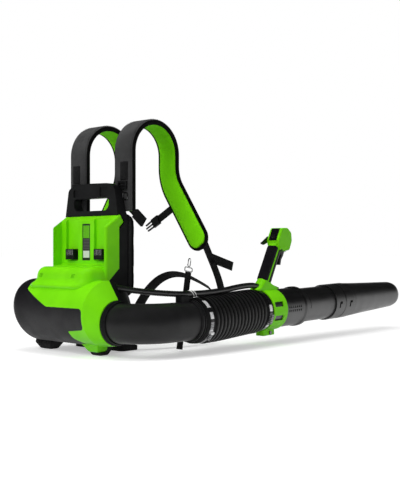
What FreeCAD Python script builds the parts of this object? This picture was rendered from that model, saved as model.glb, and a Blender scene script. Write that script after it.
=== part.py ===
import FreeCAD, Part
import math
import os
import re
from types import SimpleNamespace

from FreeCAD import Placement, Rotation, Vector

# Backpack leaf blower, in millimetres.
# +X is the wearer's right, +Y the wearer's front, +Z up.
# The origin is the centre of the front foot's sole, on the ground under the back plate.

# Driving dimensions, one named value each
SIZES = {
    # Back plate, its foot and the carry handle
    "frame_half_width": 118.0,
    "frame_front": -12.0,
    "frame_depth": 38.0,
    "frame_top": 366.0,
    "frame_wall": 4.0,
    "foot_half_length": 105.0,
    "foot_rear": -28.0,
    "foot_front": 40.0,
    "foot_height": 22.0,
    "handle_height": 111.0,
    "handle_top_half_width": 96.0,
    "handle_bar_height": 43.0,
    "handle_opening_half_width": 76.0,
    "handle_opening_height": 36.0,
    "handle_bar_front": -30.0,
    # Back cushion
    "pad_overhang": 12.0,
    "pad_bottom": 150.0,
    "pad_height": 242.0,
    "pad_thickness": 17.7,
    "pad_corner": 22.0,
    "pad_crown_inset": 10.0,
    "pad_channel_radius": 3.0,
    "soft_gap": 0.3,
    # Fan barrel
    "barrel_radius": 89.0,
    "barrel_wall": 3.0,
    "barrel_axis_y": -122.0,
    "barrel_axis_z": 114.0,
    "barrel_left": -168.0,
    "barrel_end_tilt": 18.0,
    "barrel_right": 150.0,
    "funnel_length": 36.0,
    "funnel_end_radius": 61.5,
    "dome_radius": 26.0,
    "parting_ahead_of_axis": 6.0,
    "intake_radius": 56.0,
    "intake_offset": 8.0,
    "skid_z": 9.5,
    # Battery tower and the shelf behind it
    "tower_depth": 50.0,
    "tower_shoulder_z": 351.0,
    "tower_top_z": 388.0,
    "tower_edge": 8.0,
    "tower_ear_z": 364.0,
    "tower_ear_y": -29.0,
    "bay_floor_depth": 30.0,
    "bay_half_width": 111.0,
    "bay_bottom_z": 240.0,
    "channel_depth": 8.0,
    "channel_width": 54.0,
    "channel_pitch": 124.0,
    "terminal_width": 36.0,
    "terminal_height": 30.0,
    "terminal_reach": 18.0,
    "shelf_depth": 70.0,
    "shelf_top_z": 239.0,
    "shelf_corner": 30.0,
    # Duct, fan and motor on the duct's axis
    "duct_axis_z": 91.0,
    "duct_radius": 58.0,
    "duct_wall": 2.5,
    "duct_left": -106.0,
    "fan_gap": 1.0,
    "hub_radius": 32.0,
    "blade_count": 9,
    "blade_thickness": 3.0,
    "fan_left": -84.0,
    "fan_length": 36.0,
    "motor_radius": 34.0,
    "motor_left": -34.0,
    "motor_length": 80.0,
    "motor_wall": 8.0,
    "vane_count": 7,
    "shaft_radius": 6.0,
    "shaft_clearance": 0.03,
    "bearing_radius": 14.0,
    "bearing_width": 8.0,
    # Outlet, elbow and ribbed hose
    "elbow_x": 285.0,
    "elbow_radius": 53.5,
    "duct_skin": 2.0,
    "flange_radius": 58.5,
    "outlet_x": 186.0,
    "outlet_length": 16.0,
    "elbow_end_y": 60.0,
    "wand_tilt": 1.4,
    "wand_rise": 1.0,
    "spigot_radius": 57.0,
    "spigot_length": 34.0,
    "cuff_gap": 0.3,
    "cuff_wall": 5.2,
    "cuff_length": 38.0,
    "rib_pitch": 15.15,
    "rib_height": 5.0,
    "hose_root_radius": 61.0,
    "hose_wall": 1.8,
    "ribs_rear": 7,
    "ribs_mid": 1,
    "ribs_front": 7,
    "band_width": 12.0,
    "band_thickness": 1.2,
    # Tubes and nozzle
    "tube_radius": 59.0,
    "inner_tube_step": 5.0,
    "tube_wall": 1.6,
    "tube_end_y": 546.0,
    "tube_rim_length": 14.0,
    "tube_rim_height": 3.6,
    "inner_tube_overlap": 64.0,
    "inner_tube_length": 338.0,
    "slide_gap": 0.4,
    "nozzle_overlap": 112.0,
    "nozzle_length": 436.0,
    "nozzle_taper": 9.0,
    "nozzle_rim_height": 1.6,
    "peg_radius": 2.4,
    # Control handle
    "collar_length": 66.0,
    "collar_wall": 4.0,
    "collar_gap": 0.3,
    "stem_lean": 29.6,
    "stem_width": 34.0,
    "stem_depth": 36.0,
    "shell_wall": 3.0,
    "head_width": 46.0,
    "grip_thickness": 2.5,
    "trigger_width": 13.0,
    "pin_radius": 2.5,
    "pin_clearance": 0.05,
    "lever_thickness": 4.0,
    # Cable conduit
    "conduit_radius": 8.5,
    "tie_thickness": 1.2,
    "tie_width": 4.0,
    # Harness
    "strap_width": 76.0,
    "strap_thickness": 19.0,
    "strap_inset": 20.0,
    "strap_bottom_z": 396.0,
    "strap_arch_z": 566.0,
    "strap_arch_y": 79.6,
    "strap_arch_radius": 98.5,
    "strap_splay": 115.0,
    "strap_end_z": 324.0,
    "webbing_thickness": 1.8,
    "wide_webbing": 28.0,
    "narrow_webbing": 24.0,
    "hook_webbing": 25.0,
    "ring_wire": 1.6,
}

doc = FreeCAD.newDocument("leaf_blower")
sheet = doc.addObject("Spreadsheet::Sheet", "sizes")
for row, (word, value) in enumerate(SIZES.items(), start=1):
    sheet.set(f"A{row}", word)
    sheet.set(f"B{row}", str(value))
    sheet.setAlias(f"B{row}", word)
doc.recompute()
s = SimpleNamespace(**{word: float(sheet.get(word)) for word in SIZES})

# Values that follow from the driving dimensions
FRAME_BACK = s.frame_front - s.frame_depth
TOWER_BACK = FRAME_BACK - s.tower_depth
PARTING_Y = s.barrel_axis_y + s.parting_ahead_of_axis
BAY_FLOOR = TOWER_BACK + s.bay_floor_depth
CHANNEL_FLOOR = BAY_FLOOR + s.channel_depth
DUCT_AXIS = Placement(Vector(0, s.barrel_axis_y, s.duct_axis_z), Rotation())
# The barrel's left end leans; its axis points out of the intake.
END_TURN = Rotation(Vector(0, 1, 0), 180 - s.barrel_end_tilt)
INTAKE_AXIS = Placement(
    Vector(s.barrel_left, s.barrel_axis_y, s.barrel_axis_z), END_TURN
).multiply(Placement(Vector(0, 0, s.intake_offset), Rotation()))
FUNNEL_END = s.barrel_right + s.funnel_length
HOSE_CREST = s.hose_root_radius + s.rib_height
CUFF_START = s.elbow_end_y + 2.0
RIB_START = CUFF_START + s.cuff_length
RIBS_MID_START = RIB_START + s.ribs_rear * s.rib_pitch
RIBS_FRONT_START = RIBS_MID_START + s.ribs_mid * s.rib_pitch
RIB_END = RIBS_FRONT_START + s.ribs_front * s.rib_pitch
FRONT_CUFF_END = RIB_END + s.cuff_length - 6.0
COLLAR_START = FRONT_CUFF_END + 2.0
INNER_TUBE_START = s.tube_end_y - s.inner_tube_overlap
INNER_TUBE_END = INNER_TUBE_START + s.inner_tube_length
NOZZLE_START = INNER_TUBE_END - s.nozzle_overlap
PEG_SETBACK = 21.0
NOZZLE_END = NOZZLE_START + s.nozzle_length
INNER_TUBE_RADIUS = s.tube_radius - s.inner_tube_step
STRAP_OFFSET = s.frame_half_width - s.strap_inset
STRAP_END_X = STRAP_OFFSET + s.strap_splay
PAD_HALF_WIDTH = s.frame_half_width + s.pad_overhang
STRAP_OUTER_FRONT = s.strap_arch_y + s.strap_arch_radius
STRAP_INNER_FRONT = STRAP_OUTER_FRONT - s.strap_thickness

# The tube line is modelled level, then turned about the outlet's axis, so it points slightly up.
WAND = Placement(Vector(0, 0, s.wand_rise), Rotation(Vector(1, 0, 0), s.wand_tilt),
                 Vector(0, s.barrel_axis_y, s.duct_axis_z))
ALONG_Y = Rotation(Vector(0, 0, 1), 90)
TURN = {"X": Rotation(Vector(0, 1, 0), 90), "Y": Rotation(Vector(1, 0, 0), -90), "Z": Rotation()}
SUB_PARTS = []


def linked(text):
    """An expression in which each size word names its cell."""
    return re.sub(r"[a-z][a-z_0-9]*", lambda found: "sizes." + found.group(0), str(text))


def keep(label, made, placement=None):
    """Names a finished sub-part and puts it in its place."""
    if placement is not None:
        made.Placement = placement.multiply(made.Placement)
    made.Label = label
    SUB_PARTS.append(made)
    return made


def as_feature(shape, name="form"):
    made = doc.addObject("Part::Feature", name)
    made.Shape = shape
    return made


def cylinder(radius, height, x, y, z, axis="Z"):
    made = doc.addObject("Part::Cylinder", "round")
    made.Placement = Placement(Vector(), TURN[axis])
    made.setExpression("Radius", linked(radius))
    made.setExpression("Height", linked(height))
    for name, place in (("x", x), ("y", y), ("z", z)):
        made.setExpression(f"Placement.Base.{name}", linked(place))
    return made


def block(x_from, x_to, y_from, y_to, z_from, z_to):
    made = doc.addObject("Part::Box", "block")
    for name, low, high in (("Length", x_from, x_to), ("Width", y_from, y_to),
                            ("Height", z_from, z_to)):
        made.setExpression(name, linked(f"({high}) - ({low})"))
    for name, low in (("x", x_from), ("y", y_from), ("z", z_from)):
        made.setExpression(f"Placement.Base.{name}", linked(low))
    return made


def fuse(*parts, refine=True):
    made = doc.addObject("Part::MultiFuse", "joined")
    made.Shapes = list(parts)
    made.Refine = refine
    return made


def cut(base, *tools):
    made = doc.addObject("Part::Cut", "cut")
    made.Base = base
    made.Tool = tools[0] if len(tools) == 1 else fuse(*tools)
    return made


def common(first, second):
    made = doc.addObject("Part::MultiCommon", "shared")
    made.Shapes = [first, second]
    return made


def rounded(base, radius, wanted):
    """Rounds the edges that wanted() picks."""
    doc.recompute()
    made = doc.addObject("Part::Fillet", "rounded")
    made.Base = base
    picks = [number for number, edge in enumerate(base.Shape.Edges, start=1) if wanted(edge)]
    made.Edges = [(number, radius, radius) for number in picks]
    return made


def runs_along(axis):
    """Picks straight edges that run along one axis."""
    def wanted(edge):
        if edge.Curve.TypeId != "Part::GeomLine":
            return False
        return abs(abs(edge.Curve.Direction.dot(axis)) - 1.0) < 1e-6
    return wanted


def corner_curves(corners):
    """Closed outline through (u, v, radius) corners, as lines and tangent arcs."""
    count = len(corners)
    points = [Vector(corner[0], corner[1], 0) for corner in corners]
    ends = []
    for index, corner in enumerate(corners):
        here = points[index]
        back = points[index - 1] - here
        ahead = points[(index + 1) % count] - here
        if corner[2] <= 0:
            ends.append((here, None, here))
            continue
        half = back.getAngle(ahead) / 2
        back.normalize()
        ahead.normalize()
        reach = corner[2] / math.tan(half)
        inward = back + ahead
        inward.normalize()
        middle = here + inward * (corner[2] / math.sin(half) - corner[2])
        ends.append((here + back * reach, middle, here + ahead * reach))
    curves = []
    for index, (enter, middle, leave) in enumerate(ends):
        if middle is not None:
            curves.append(Part.Arc(enter, middle, leave))
        following = ends[(index + 1) % count][0]
        if (following - leave).Length > 1e-6:
            curves.append(Part.LineSegment(leave, following))
    return curves


def new_sketch(body, plane, level, curves):
    sketch = body.newObject("Sketcher::SketchObject", "outline")
    origin = next(item for item in body.Origin.OriginFeatures if item.Role == plane)
    sketch.AttachmentSupport = (origin, [""])
    sketch.MapMode = "FlatFace"
    sketch.AttachmentOffset = Placement(Vector(0, 0, level), Rotation())
    sketch.addGeometry(curves, False)
    return sketch


def prism(plane, corners, start, end, length=None):
    """A padded outline from start to end along the plane's own world axis.

    length, if given, is the pad's size as an expression of the sheet.
    """
    body = doc.addObject("PartDesign::Body", "solid")
    level = -end if plane == "XZ_Plane" else start
    sketch = new_sketch(body, plane, level, corner_curves(corners))
    pad = body.newObject("PartDesign::Pad", "pad")
    pad.Profile = sketch
    pad.Length = end - start
    if length is not None:
        pad.setExpression("Length", linked(length))
    sketch.Visibility = False
    return body


def turned(profile, placement=None):
    """A body turned about its own X axis from (x, radius) points."""
    body = doc.addObject("PartDesign::Body", "turned")
    sketch = new_sketch(body, "XY_Plane", 0, corner_curves([(x, r, 0) for x, r in profile]))
    spin = body.newObject("PartDesign::Revolution", "spin")
    spin.Profile = (sketch, [""])
    spin.ReferenceAxis = (sketch, ["H_Axis"])
    spin.Angle = 360.0
    if placement is not None:
        body.Placement = placement
    return body


def on_tube(profile):
    """A body turned about the tube's axis, from (y, radius) points."""
    return turned(profile, Placement(Vector(s.elbow_x, 0, s.duct_axis_z), ALONG_Y))


def path_wire(points, radii):
    """Straight runs joined by tangent arcs."""
    edges = []
    start = points[0]
    for index in range(1, len(points) - 1):
        here = points[index]
        back = points[index - 1] - here
        ahead = points[index + 1] - here
        half = back.getAngle(ahead) / 2
        back.normalize()
        ahead.normalize()
        radius = radii[index - 1]
        reach = radius / math.tan(half)
        inward = back + ahead
        inward.normalize()
        middle = here + inward * (radius / math.sin(half) - radius)
        edges.append(Part.LineSegment(start, here + back * reach).toShape())
        edges.append(Part.Arc(here + back * reach, middle, here + ahead * reach).toShape())
        start = here + ahead * reach
    edges.append(Part.LineSegment(start, points[-1]).toShape())
    return Part.Wire(edges)


def easy_radii(points):
    """For each corner, 0.45 of its shorter run over the tangent of half its turn."""
    radii = []
    for index in range(1, len(points) - 1):
        back = points[index] - points[index - 1]
        ahead = points[index + 1] - points[index]
        turn = back.getAngle(ahead)
        radii.append(0.45 * min(back.Length, ahead.Length) / math.tan(turn / 2))
    return radii


def round_tube(name, points, radius):
    """A solid tube along a route, its volume set against section times length."""
    radii = easy_radii(points)
    wire = path_wire(points, radii)
    circle = Part.Circle(points[0], points[1] - points[0], radius)
    tube = wire.makePipeShell([Part.Wire(circle.toShape())], True, False)
    share = tube.Volume / (math.pi * radius ** 2 * wire.Length)
    rounds = [round(r) for r in radii]
    print(f"{name}: radii {rounds}, length {wire.Length:.0f}, volume share {share:.3f}")
    return tube


def ribbon(points, radii, width, thickness, across=Vector(1, 0, 0)):
    """A flat strap whose width keeps one direction along its whole route."""
    wire = path_wire(points, radii)
    ahead = points[1] - points[0]
    ahead.normalize()
    normal = across.cross(ahead)
    normal.normalize()
    half_across = across * (width / 2)
    half_normal = normal * (thickness / 2)
    corners = [points[0] + half_across + half_normal, points[0] - half_across + half_normal,
               points[0] - half_across - half_normal, points[0] + half_across - half_normal]
    sweep = Part.BRepOffsetAPI.MakePipeShell(wire)
    sweep.setBiNormalMode(across)
    sweep.add(Part.makePolygon(corners + corners[:1]))
    sweep.build()
    sweep.makeSolid()
    return sweep.shape()


def oriented_box(centre, along, up, length, width, thickness):
    """A box with its length along one direction and its width near another."""
    ahead = Vector(along)
    ahead.normalize()
    normal = ahead.cross(up)
    normal.normalize()
    side = normal.cross(ahead)
    turn = Rotation(ahead, side, normal, "XYZ")
    box = Part.makeBox(length, width, thickness, Vector(-length / 2, -width / 2, -thickness / 2))
    box.Placement = Placement(centre, turn)
    return box


def drum_solid(inset):
    """The fan barrel without its funnel: a round drum with a leaning, rounded left end."""
    reach = 80.0
    drum = Part.makeCylinder(
        s.barrel_radius - inset,
        s.barrel_right - s.barrel_left + reach,
        Vector(s.barrel_left - reach, s.barrel_axis_y, s.barrel_axis_z),
        Vector(1, 0, 0),
    )
    beyond = Part.makeBox(400, 400, 400, Vector(-inset, -200, -200))
    beyond.Placement = Placement(Vector(s.barrel_left, s.barrel_axis_y, s.barrel_axis_z), END_TURN)
    drum = drum.cut(beyond)
    rim = [edge for edge in drum.Edges if len(edge.Vertexes) == 1 and edge.BoundBox.XMax < 0]
    return drum.makeFillet(s.dome_radius - inset, rim)


def barrel_solid(inset):
    """The fan barrel with its rounded left end and its narrowing right end."""
    axis = Vector(1, 0, 0)
    ends = (
        (s.barrel_right, s.barrel_radius - inset, s.barrel_axis_z),
        (FUNNEL_END, s.funnel_end_radius - inset, s.duct_axis_z),
    )
    rings = []
    for x, r, z in ends:
        circle = Part.Circle(Vector(x, s.barrel_axis_y, z), axis, r)
        rings.append(Part.Wire(circle.toShape()))
    return drum_solid(inset).fuse(Part.makeLoft(rings, True, True)).removeSplitter()


def barrel_shell():
    """The barrel's wall, open at the intake and at the outlet."""
    shell = barrel_solid(0).cut(barrel_solid(s.barrel_wall))
    axis = Vector(1, 0, 0)
    intake = Part.makeCylinder(s.intake_radius, 60, Vector(-30, 0, 0), axis)
    intake.Placement = INTAKE_AXIS
    outlet = Part.makeCylinder(s.elbow_radius + 1, 60, Vector(FUNNEL_END - 20, s.barrel_axis_y,
        s.duct_axis_z), axis)
    return shell.cut(intake).cut(outlet)


def half_space(ahead_of_parting):
    span = 700.0
    y = PARTING_Y if ahead_of_parting else PARTING_Y - span
    return Part.makeBox(2 * span, span, span, Vector(-span, y, -span / 4))


def flat_prism(corners, plane, start, end):
    """A prism made from a rounded outline, for shapes that only cut others."""
    face = Part.Face(Part.Wire([curve.toShape() for curve in corner_curves(corners)]))
    if plane == "XZ":
        face.Placement = Placement(Vector(0, end, 0), Rotation(Vector(1, 0, 0), 90))
        return face.extrude(Vector(0, start - end, 0))
    if plane == "YZ":
        face.Placement = Placement(Vector(start, 0, 0), Rotation(Vector(0, 1, 0), Vector(0, 0, 1),
            Vector(1, 0, 0), "XYZ"))
        return face.extrude(Vector(end - start, 0, 0))
    face.Placement = Placement(Vector(0, 0, start), Rotation())
    return face.extrude(Vector(0, 0, end - start))


def belt_region():
    """The black belt's outline across the rear of the barrel."""
    right = s.barrel_right
    low = s.barrel_axis_z - s.barrel_radius
    outline = [
        (s.barrel_left - 80, 260, 0), (-131, 260, 0), (-131, 205, 4), (-119, 176, 12), (-5, 131, 26),
        (right - 4, 131.5, 13), (right - 5, 75, 13), (77, 67.5, 3), (80, 48, 12), (104, low + 8, 10),
        (112, low - 30, 0), (s.barrel_left - 80, low - 30, 0),
    ]
    return flat_prism(outline, "XZ", s.barrel_axis_y - 2 * s.barrel_radius, PARTING_Y)


def tower_outline(gap=0.0):
    """Side view of the battery tower, with its ears ahead of the rear plane."""
    return [
        (TOWER_BACK - 16, 192, 0), (TOWER_BACK + 9, 198, 0), (FRAME_BACK - 2, 233 - gap,
            0), (FRAME_BACK + gap, 233 - gap, 0),
        (FRAME_BACK + gap, s.tower_ear_z - 20 - gap, 0), (s.tower_ear_y + gap, s.tower_ear_z, 5 + gap),
        (s.tower_ear_y - 15, s.tower_top_z + gap, 5), (TOWER_BACK, s.tower_shoulder_z + gap,
                                                       8), (TOWER_BACK - 16, s.tower_shoulder_z - 30,
                                                            0),
    ]


def tower_side():
    """The tower's outline without the part of it that lies behind its rear face."""
    outline = tower_outline()
    return outline[1:7] + [(TOWER_BACK, s.tower_shoulder_z, 8), (TOWER_BACK, 192, 0)]


def shelf_ring(level, left, right, rear, corner):
    """Plan of the shelf at one height, square where it meets the tower."""
    front = TOWER_BACK + 3
    curves = corner_curves([(left, front, 0), (left, rear, corner), (right, rear, corner),
                            (right, front, 0)])
    ring = Part.Wire([curve.toShape() for curve in curves])
    ring.Placement = Placement(Vector(0, 0, level), Rotation())
    return ring


def shelf_solid():
    """Soft-edged shelf behind the tower, flaring into the top of the barrel."""
    half = s.frame_half_width
    rear = TOWER_BACK - s.shelf_depth
    top = s.shelf_top_z
    r = s.shelf_corner
    rings = [
        shelf_ring(top, -half + 16, half - 19, rear + 20, r - 6), shelf_ring(top - 3, -half + 11,
            half - 14, rear + 13, r - 4),
        shelf_ring(top - 9, -half + 7, half - 9, rear + 6, r - 2), shelf_ring(top - 26, -half + 3,
            half - 4, rear, r),
        shelf_ring(top - 35, -half + 1, half - 2, rear - 2, r + 2), shelf_ring(top - 43, -half - 7,
            half - 1, rear - 9, r + 8),
        shelf_ring(top - 60, -half - 14, half - 0.5, rear - 13, r + 12),
    ]
    return Part.makeLoft(rings, True, False)


def skid_solid():
    """The skid under the barrel's right end, which carries a rubber sole."""
    low = s.skid_z
    seen_from_rear = flat_prism(
        [(78, 50, 0), (83, 32, 8), (102, low, 12), (136, low, 12), (149, 32, 8), (149, 50, 0)],
        "XZ",
        -300,
        PARTING_Y,
    )
    seen_from_side = flat_prism(
        [(-160, 40, 0), (-146, low, 10), (PARTING_Y, low, 0), (PARTING_Y, 50, 0), (-160, 50, 0)],
        "YZ",
        0,
        300,
    )
    return seen_from_rear.common(seen_from_side).cut(drum_solid(0))


def is_tower_rear_edge(edge):
    """Picks the upper edges of the tower's two sides."""
    box = edge.BoundBox
    return box.XLength < 0.01 and box.YMin < -60 and edge.CenterOfMass.z > 250


def build_rear_housing():
    """Green cover: battery tower, rear shelf and the upper rear of the barrel."""
    half = s.frame_half_width
    tower = prism("YZ_Plane", tower_side(), -half, half, "2 * frame_half_width")
    tower = rounded(tower, s.tower_edge, is_tower_rear_edge)
    rear = TOWER_BACK - s.shelf_depth
    barrel = as_feature(barrel_solid(0))
    green_wall = barrel_shell().common(half_space(False)).cut(belt_region())
    roof_slope = (s.tower_top_z - s.tower_shoulder_z) / (s.tower_ear_y - 15 - TOWER_BACK)
    sky = s.tower_top_z + 20
    bay_side = [(TOWER_BACK - 5, s.bay_bottom_z, 0), (BAY_FLOOR, s.bay_bottom_z + 4, 5),
                (BAY_FLOOR, sky, 0), (TOWER_BACK - 5, sky, 0)]
    bay = prism("YZ_Plane", bay_side, -s.bay_half_width, s.bay_half_width, "2 * bay_half_width")
    channels = []
    bay_floor = "frame_front - frame_depth - tower_depth + bay_floor_depth"
    for side in (-1, 1):
        middle = f"{side} * channel_pitch / 2"
        channels.append(block(
            f"{middle} - channel_width / 2", f"{middle} + channel_width / 2",
            f"{bay_floor} - 2", f"{bay_floor} + channel_depth", "bay_bottom_z + 16", "tower_top_z",
        ))
    plate_recess = block(
        "-17", "17", f"{bay_floor} - 2", f"{bay_floor} + 1.5",
        "bay_bottom_z + 16", "tower_shoulder_z + 10",
    )
    inner = CHANNEL_FLOOR + s.barrel_wall
    roof = s.tower_shoulder_z - 5
    room_side = [
        (inner, s.bay_bottom_z - 2, 0), (FRAME_BACK + 4, s.bay_bottom_z - 2, 0), (FRAME_BACK + 4,
            roof + (FRAME_BACK + 4 - TOWER_BACK) * roof_slope, 0),
        (inner, roof + (inner - TOWER_BACK) * roof_slope, 0),
    ]
    room = prism("YZ_Plane", room_side, -half + s.barrel_wall, half - s.barrel_wall)
    shelf_hollow = as_feature(Part.makeBox(2 * half - 28, s.shelf_depth - 14, s.shelf_top_z - 168,
                                           Vector(14 - half, rear + 12, 150)))
    vents = []
    for x_centre in (-78.0, 62.0):
        for step in range(3):
            slot = Part.makeBox(2.2, 12, 13, Vector(-1.1, -6, -6.5))
            slot.Placement = Placement(Vector(x_centre + 5 * (step - 1), rear, s.shelf_top_z - 24),
                                       Rotation(Vector(0, 1, 0), 20))
            vents.append(as_feature(slot))
    outside = cut(fuse(tower, as_feature(shelf_solid()), as_feature(skid_solid())), barrel)
    skin = fuse(outside, as_feature(green_wall))
    keep("rear_housing", cut(skin, bay, plate_recess, room, shelf_hollow, *channels, *vents))


def build_belt_cover():
    """Black belt round the lower rear and the left end of the barrel."""
    keep("belt_cover", as_feature(barrel_shell().common(half_space(False)).common(belt_region())))


def build_front_housing():
    """Black front half of the barrel, with the box that joins it to the back plate."""
    front_wall = barrel_shell().common(half_space(True))
    half = s.frame_half_width
    low = 68.0
    cheek_side = [
        (PARTING_Y, 170, 0), (PARTING_Y, 196, 0), (TOWER_BACK + 9, 197.5, 0), (FRAME_BACK - 2, 232.5,
            0), (FRAME_BACK, 232.5, 0),
        (FRAME_BACK, low, 0), (PARTING_Y, low, 0),
    ]
    cheek = flat_prism(cheek_side, "YZ", -half, half)
    wall = s.barrel_wall
    room_side = [
        (PARTING_Y + wall, 170, 0), (TOWER_BACK + 10, 198 - wall, 0), (FRAME_BACK - 2, 233 - wall, 0),
        (FRAME_BACK + 5, 233 - wall, 0), (FRAME_BACK + 5, low + wall, 0), (PARTING_Y + wall, low + wall,
            0),
    ]
    room = flat_prism(room_side, "YZ", -half + wall, half - wall)
    cheek = cheek.cut(barrel_solid(0)).cut(room)
    cable_hole = route_room(conduit_routes()[0])
    keep("front_housing", as_feature(cheek.fuse(front_wall).cut(cable_hole).removeSplitter()))


def build_intake():
    """Round intake rim and its grille on the barrel's leaning left end."""
    hole = s.intake_radius
    axis = Vector(1, 0, 0)
    rim = turned([
        (-3, hole - 3), (2, hole - 3), (4, hole), (4, hole + 3), (1.5, hole + 6.5), (0, hole + 6.5),
        (0, hole - 0.2), (-3, hole - 0.2),
    ], INTAKE_AXIS)
    keep("intake_rim", rim)

    def ring(outer, inner):
        plate = Part.makeCylinder(outer, s.barrel_wall, Vector(), axis)
        return plate.cut(Part.makeCylinder(inner, s.barrel_wall, Vector(), axis))

    grille = ring(hole - 3.2, hole - 7)
    for radius in (13.0, 23.0, 33.0, 43.0):
        grille = grille.fuse(ring(radius, radius - 2.6))
    for number in range(8):
        spoke = Part.makeBox(s.barrel_wall, hole - 16, 3, Vector(0, 11, -1.5))
        spoke.rotate(Vector(), axis, number * 45)
        grille = grille.fuse(spoke)
    seat = INTAKE_AXIS.multiply(Placement(Vector(-s.barrel_wall, 0, 0), Rotation()))
    keep("intake_grille", as_feature(grille.removeSplitter()), seat)


def build_duct():
    """Inner duct: a bell mouth, the straight fan bore and the cone to the outlet."""
    r = s.duct_radius
    wall = s.duct_wall
    throat = s.elbow_radius + 1
    profile = [
        (s.duct_left, r + 4), (s.duct_left, r + 4 - wall), (s.duct_left + 10,
                                                            r - wall), (s.barrel_right - 6, r - wall),
        (FUNNEL_END - 4, throat - wall - 0.4), (FUNNEL_END - 4, throat - 0.4), (s.barrel_right - 8,
            r), (s.duct_left + 11, r),
    ]
    keep("fan_duct", turned(profile, DUCT_AXIS))


def fan_blade(root_radius, tip_radius, chord, root_pitch, tip_pitch):
    """One twisted blade standing along +Z, its chord pitched from the axis."""
    sections = []
    for radius, pitch in ((root_radius, root_pitch), (tip_radius, tip_pitch)):
        along = Vector(math.cos(math.radians(pitch)), math.sin(math.radians(pitch)), 0) * (chord / 2)
        thick = Vector(-math.sin(math.radians(pitch)), math.cos(math.radians(pitch)),
                       0) * (s.blade_thickness / 2)
        centre = Vector(0, 0, radius)
        corners = [centre + along + thick, centre - along + thick, centre - along - thick,
                   centre + along - thick]
        sections.append(Part.makePolygon(corners + corners[:1]))
    return Part.makeLoft(sections, True, True)


def build_fan():
    """Fan wheel with its rounded nose, keyed on the shaft."""
    bore = s.shaft_radius + s.shaft_clearance
    hub = s.hub_radius
    left = s.fan_left
    profile = [
        (left - 10, bore), (left - 10, 12), (left - 4, 24), (left + 6, hub - 2), (left + 14,
            hub), (left + s.fan_length, hub),
        (left + s.fan_length, hub - 4), (left + 12, hub - 6), (left + 12, bore),
    ]
    wheel = turned(profile, DUCT_AXIS)
    tip = s.duct_radius - s.duct_wall - s.fan_gap
    sweep = Part.makeCylinder(tip, 4 * s.fan_length, Vector(left - s.fan_length, 0, 0), Vector(1, 0, 0))
    blades = []
    for number in range(int(s.blade_count)):
        blade = fan_blade(hub - 5, tip + 4, s.fan_length * 0.92, 52, 30)
        blade.translate(Vector(left + s.fan_length / 2 + 2, 0, 0))
        blade.rotate(Vector(), Vector(1, 0, 0), number * 360.0 / s.blade_count)
        made = as_feature(blade.common(sweep))
        made.Placement = DUCT_AXIS
        blades.append(made)
    keep("fan_wheel", fuse(wheel, *blades, refine=False))
    nut = Part.makeCylinder(9, 8, Vector(left - 18.2, 0, 0), Vector(1, 0, 0)).cut(
        Part.makeCylinder(bore, 8, Vector(left - 18.2, 0, 0), Vector(1, 0, 0)))
    keep("fan_nut", as_feature(nut), DUCT_AXIS)


def build_motor():
    """Motor can, its two bearings and the shaft with its rotor core."""
    left = s.motor_left
    right = left + s.motor_length
    r = s.motor_radius
    wall = s.motor_wall
    seat = s.bearing_radius
    width = s.bearing_width
    can = [
        (left, s.shaft_radius + 3), (left, r), (right, r), (right, s.shaft_radius + 3), (right - wall,
            s.shaft_radius + 3),
        (right - wall, seat), (right - wall - width, seat), (right - wall - width,
            seat + 3), (right - wall, seat + 3),
        (right - wall, r - wall), (left + wall, r - wall), (left + wall,
                                                            seat + 3), (left + wall + width, seat + 3),
        (left + wall + width, seat), (left + wall, seat), (left + wall, s.shaft_radius + 3),
    ]
    keep("motor_can", turned(can, DUCT_AXIS))
    races = []
    for start in (left + wall, right - wall - width):
        ring = Part.makeCylinder(seat, width, Vector(start, 0, 0), Vector(1, 0, 0)).cut(
            Part.makeCylinder(s.shaft_radius + s.shaft_clearance, width, Vector(start, 0, 0),
                              Vector(1, 0, 0)))
        races.append(ring)
    keep("motor_bearings", as_feature(Part.makeCompound(races)), DUCT_AXIS)
    core_start = left + wall + width + 6
    core_end = right - wall - width - 6
    shaft = [
        (s.fan_left - 20, 0), (s.fan_left - 20, s.shaft_radius), (core_start,
            s.shaft_radius), (core_start, r - wall - 3),
        (core_end, r - wall - 3), (core_end, s.shaft_radius), (right - 1, s.shaft_radius), (right - 1,
            0),
    ]
    keep("motor_shaft", turned(shaft, DUCT_AXIS))


def build_stator():
    """Motor mount: a sleeve on straight vanes in the duct, and a tail cone."""
    left = s.motor_left
    right = left + s.motor_length
    inner = s.motor_radius
    sleeve = turned([
        (left, inner), (left, inner + 3), (right, inner + 3), (right + 60, 14), (right + 66,
            0), (right + 62, 0),
        (right + 57, 11), (right, inner - 1), (right, inner),
    ], DUCT_AXIS)
    reach = s.duct_radius - s.duct_wall
    limit = Part.makeCylinder(reach, 200, Vector(left - 50, 0, 0), Vector(1, 0, 0))
    vanes = []
    for number in range(int(s.vane_count)):
        vane = Part.makeBox(s.motor_length - 14, 3, reach - inner, Vector(left + 7, -1.5, inner + 1))
        vane.rotate(Vector(), Vector(1, 0, 0), number * 360.0 / s.vane_count + 20)
        made = as_feature(vane.common(limit))
        made.Placement = DUCT_AXIS
        vanes.append(made)
    keep("stator", fuse(sleeve, *vanes))


def build_controller():
    """Circuit board and its heat sink, behind the bay floor in the back plate."""
    board_y = s.frame_front - s.frame_wall - 12
    board = block("-80", "80", str(board_y - 1.6), str(board_y), "232", "338")
    keep("controller_board", board)
    fins = [Part.makeBox(100, 4, 70, Vector(-50, board_y - 5.8, 250))]
    for number in range(13):
        fins.append(Part.makeBox(2, 10, 70, Vector(-50 + number * 98 / 12.0, board_y - 15.5, 250)))
    sink = fins[0]
    for fin in fins[1:]:
        sink = sink.fuse(fin)
    keep("heat_sink", as_feature(sink.removeSplitter()))


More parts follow.
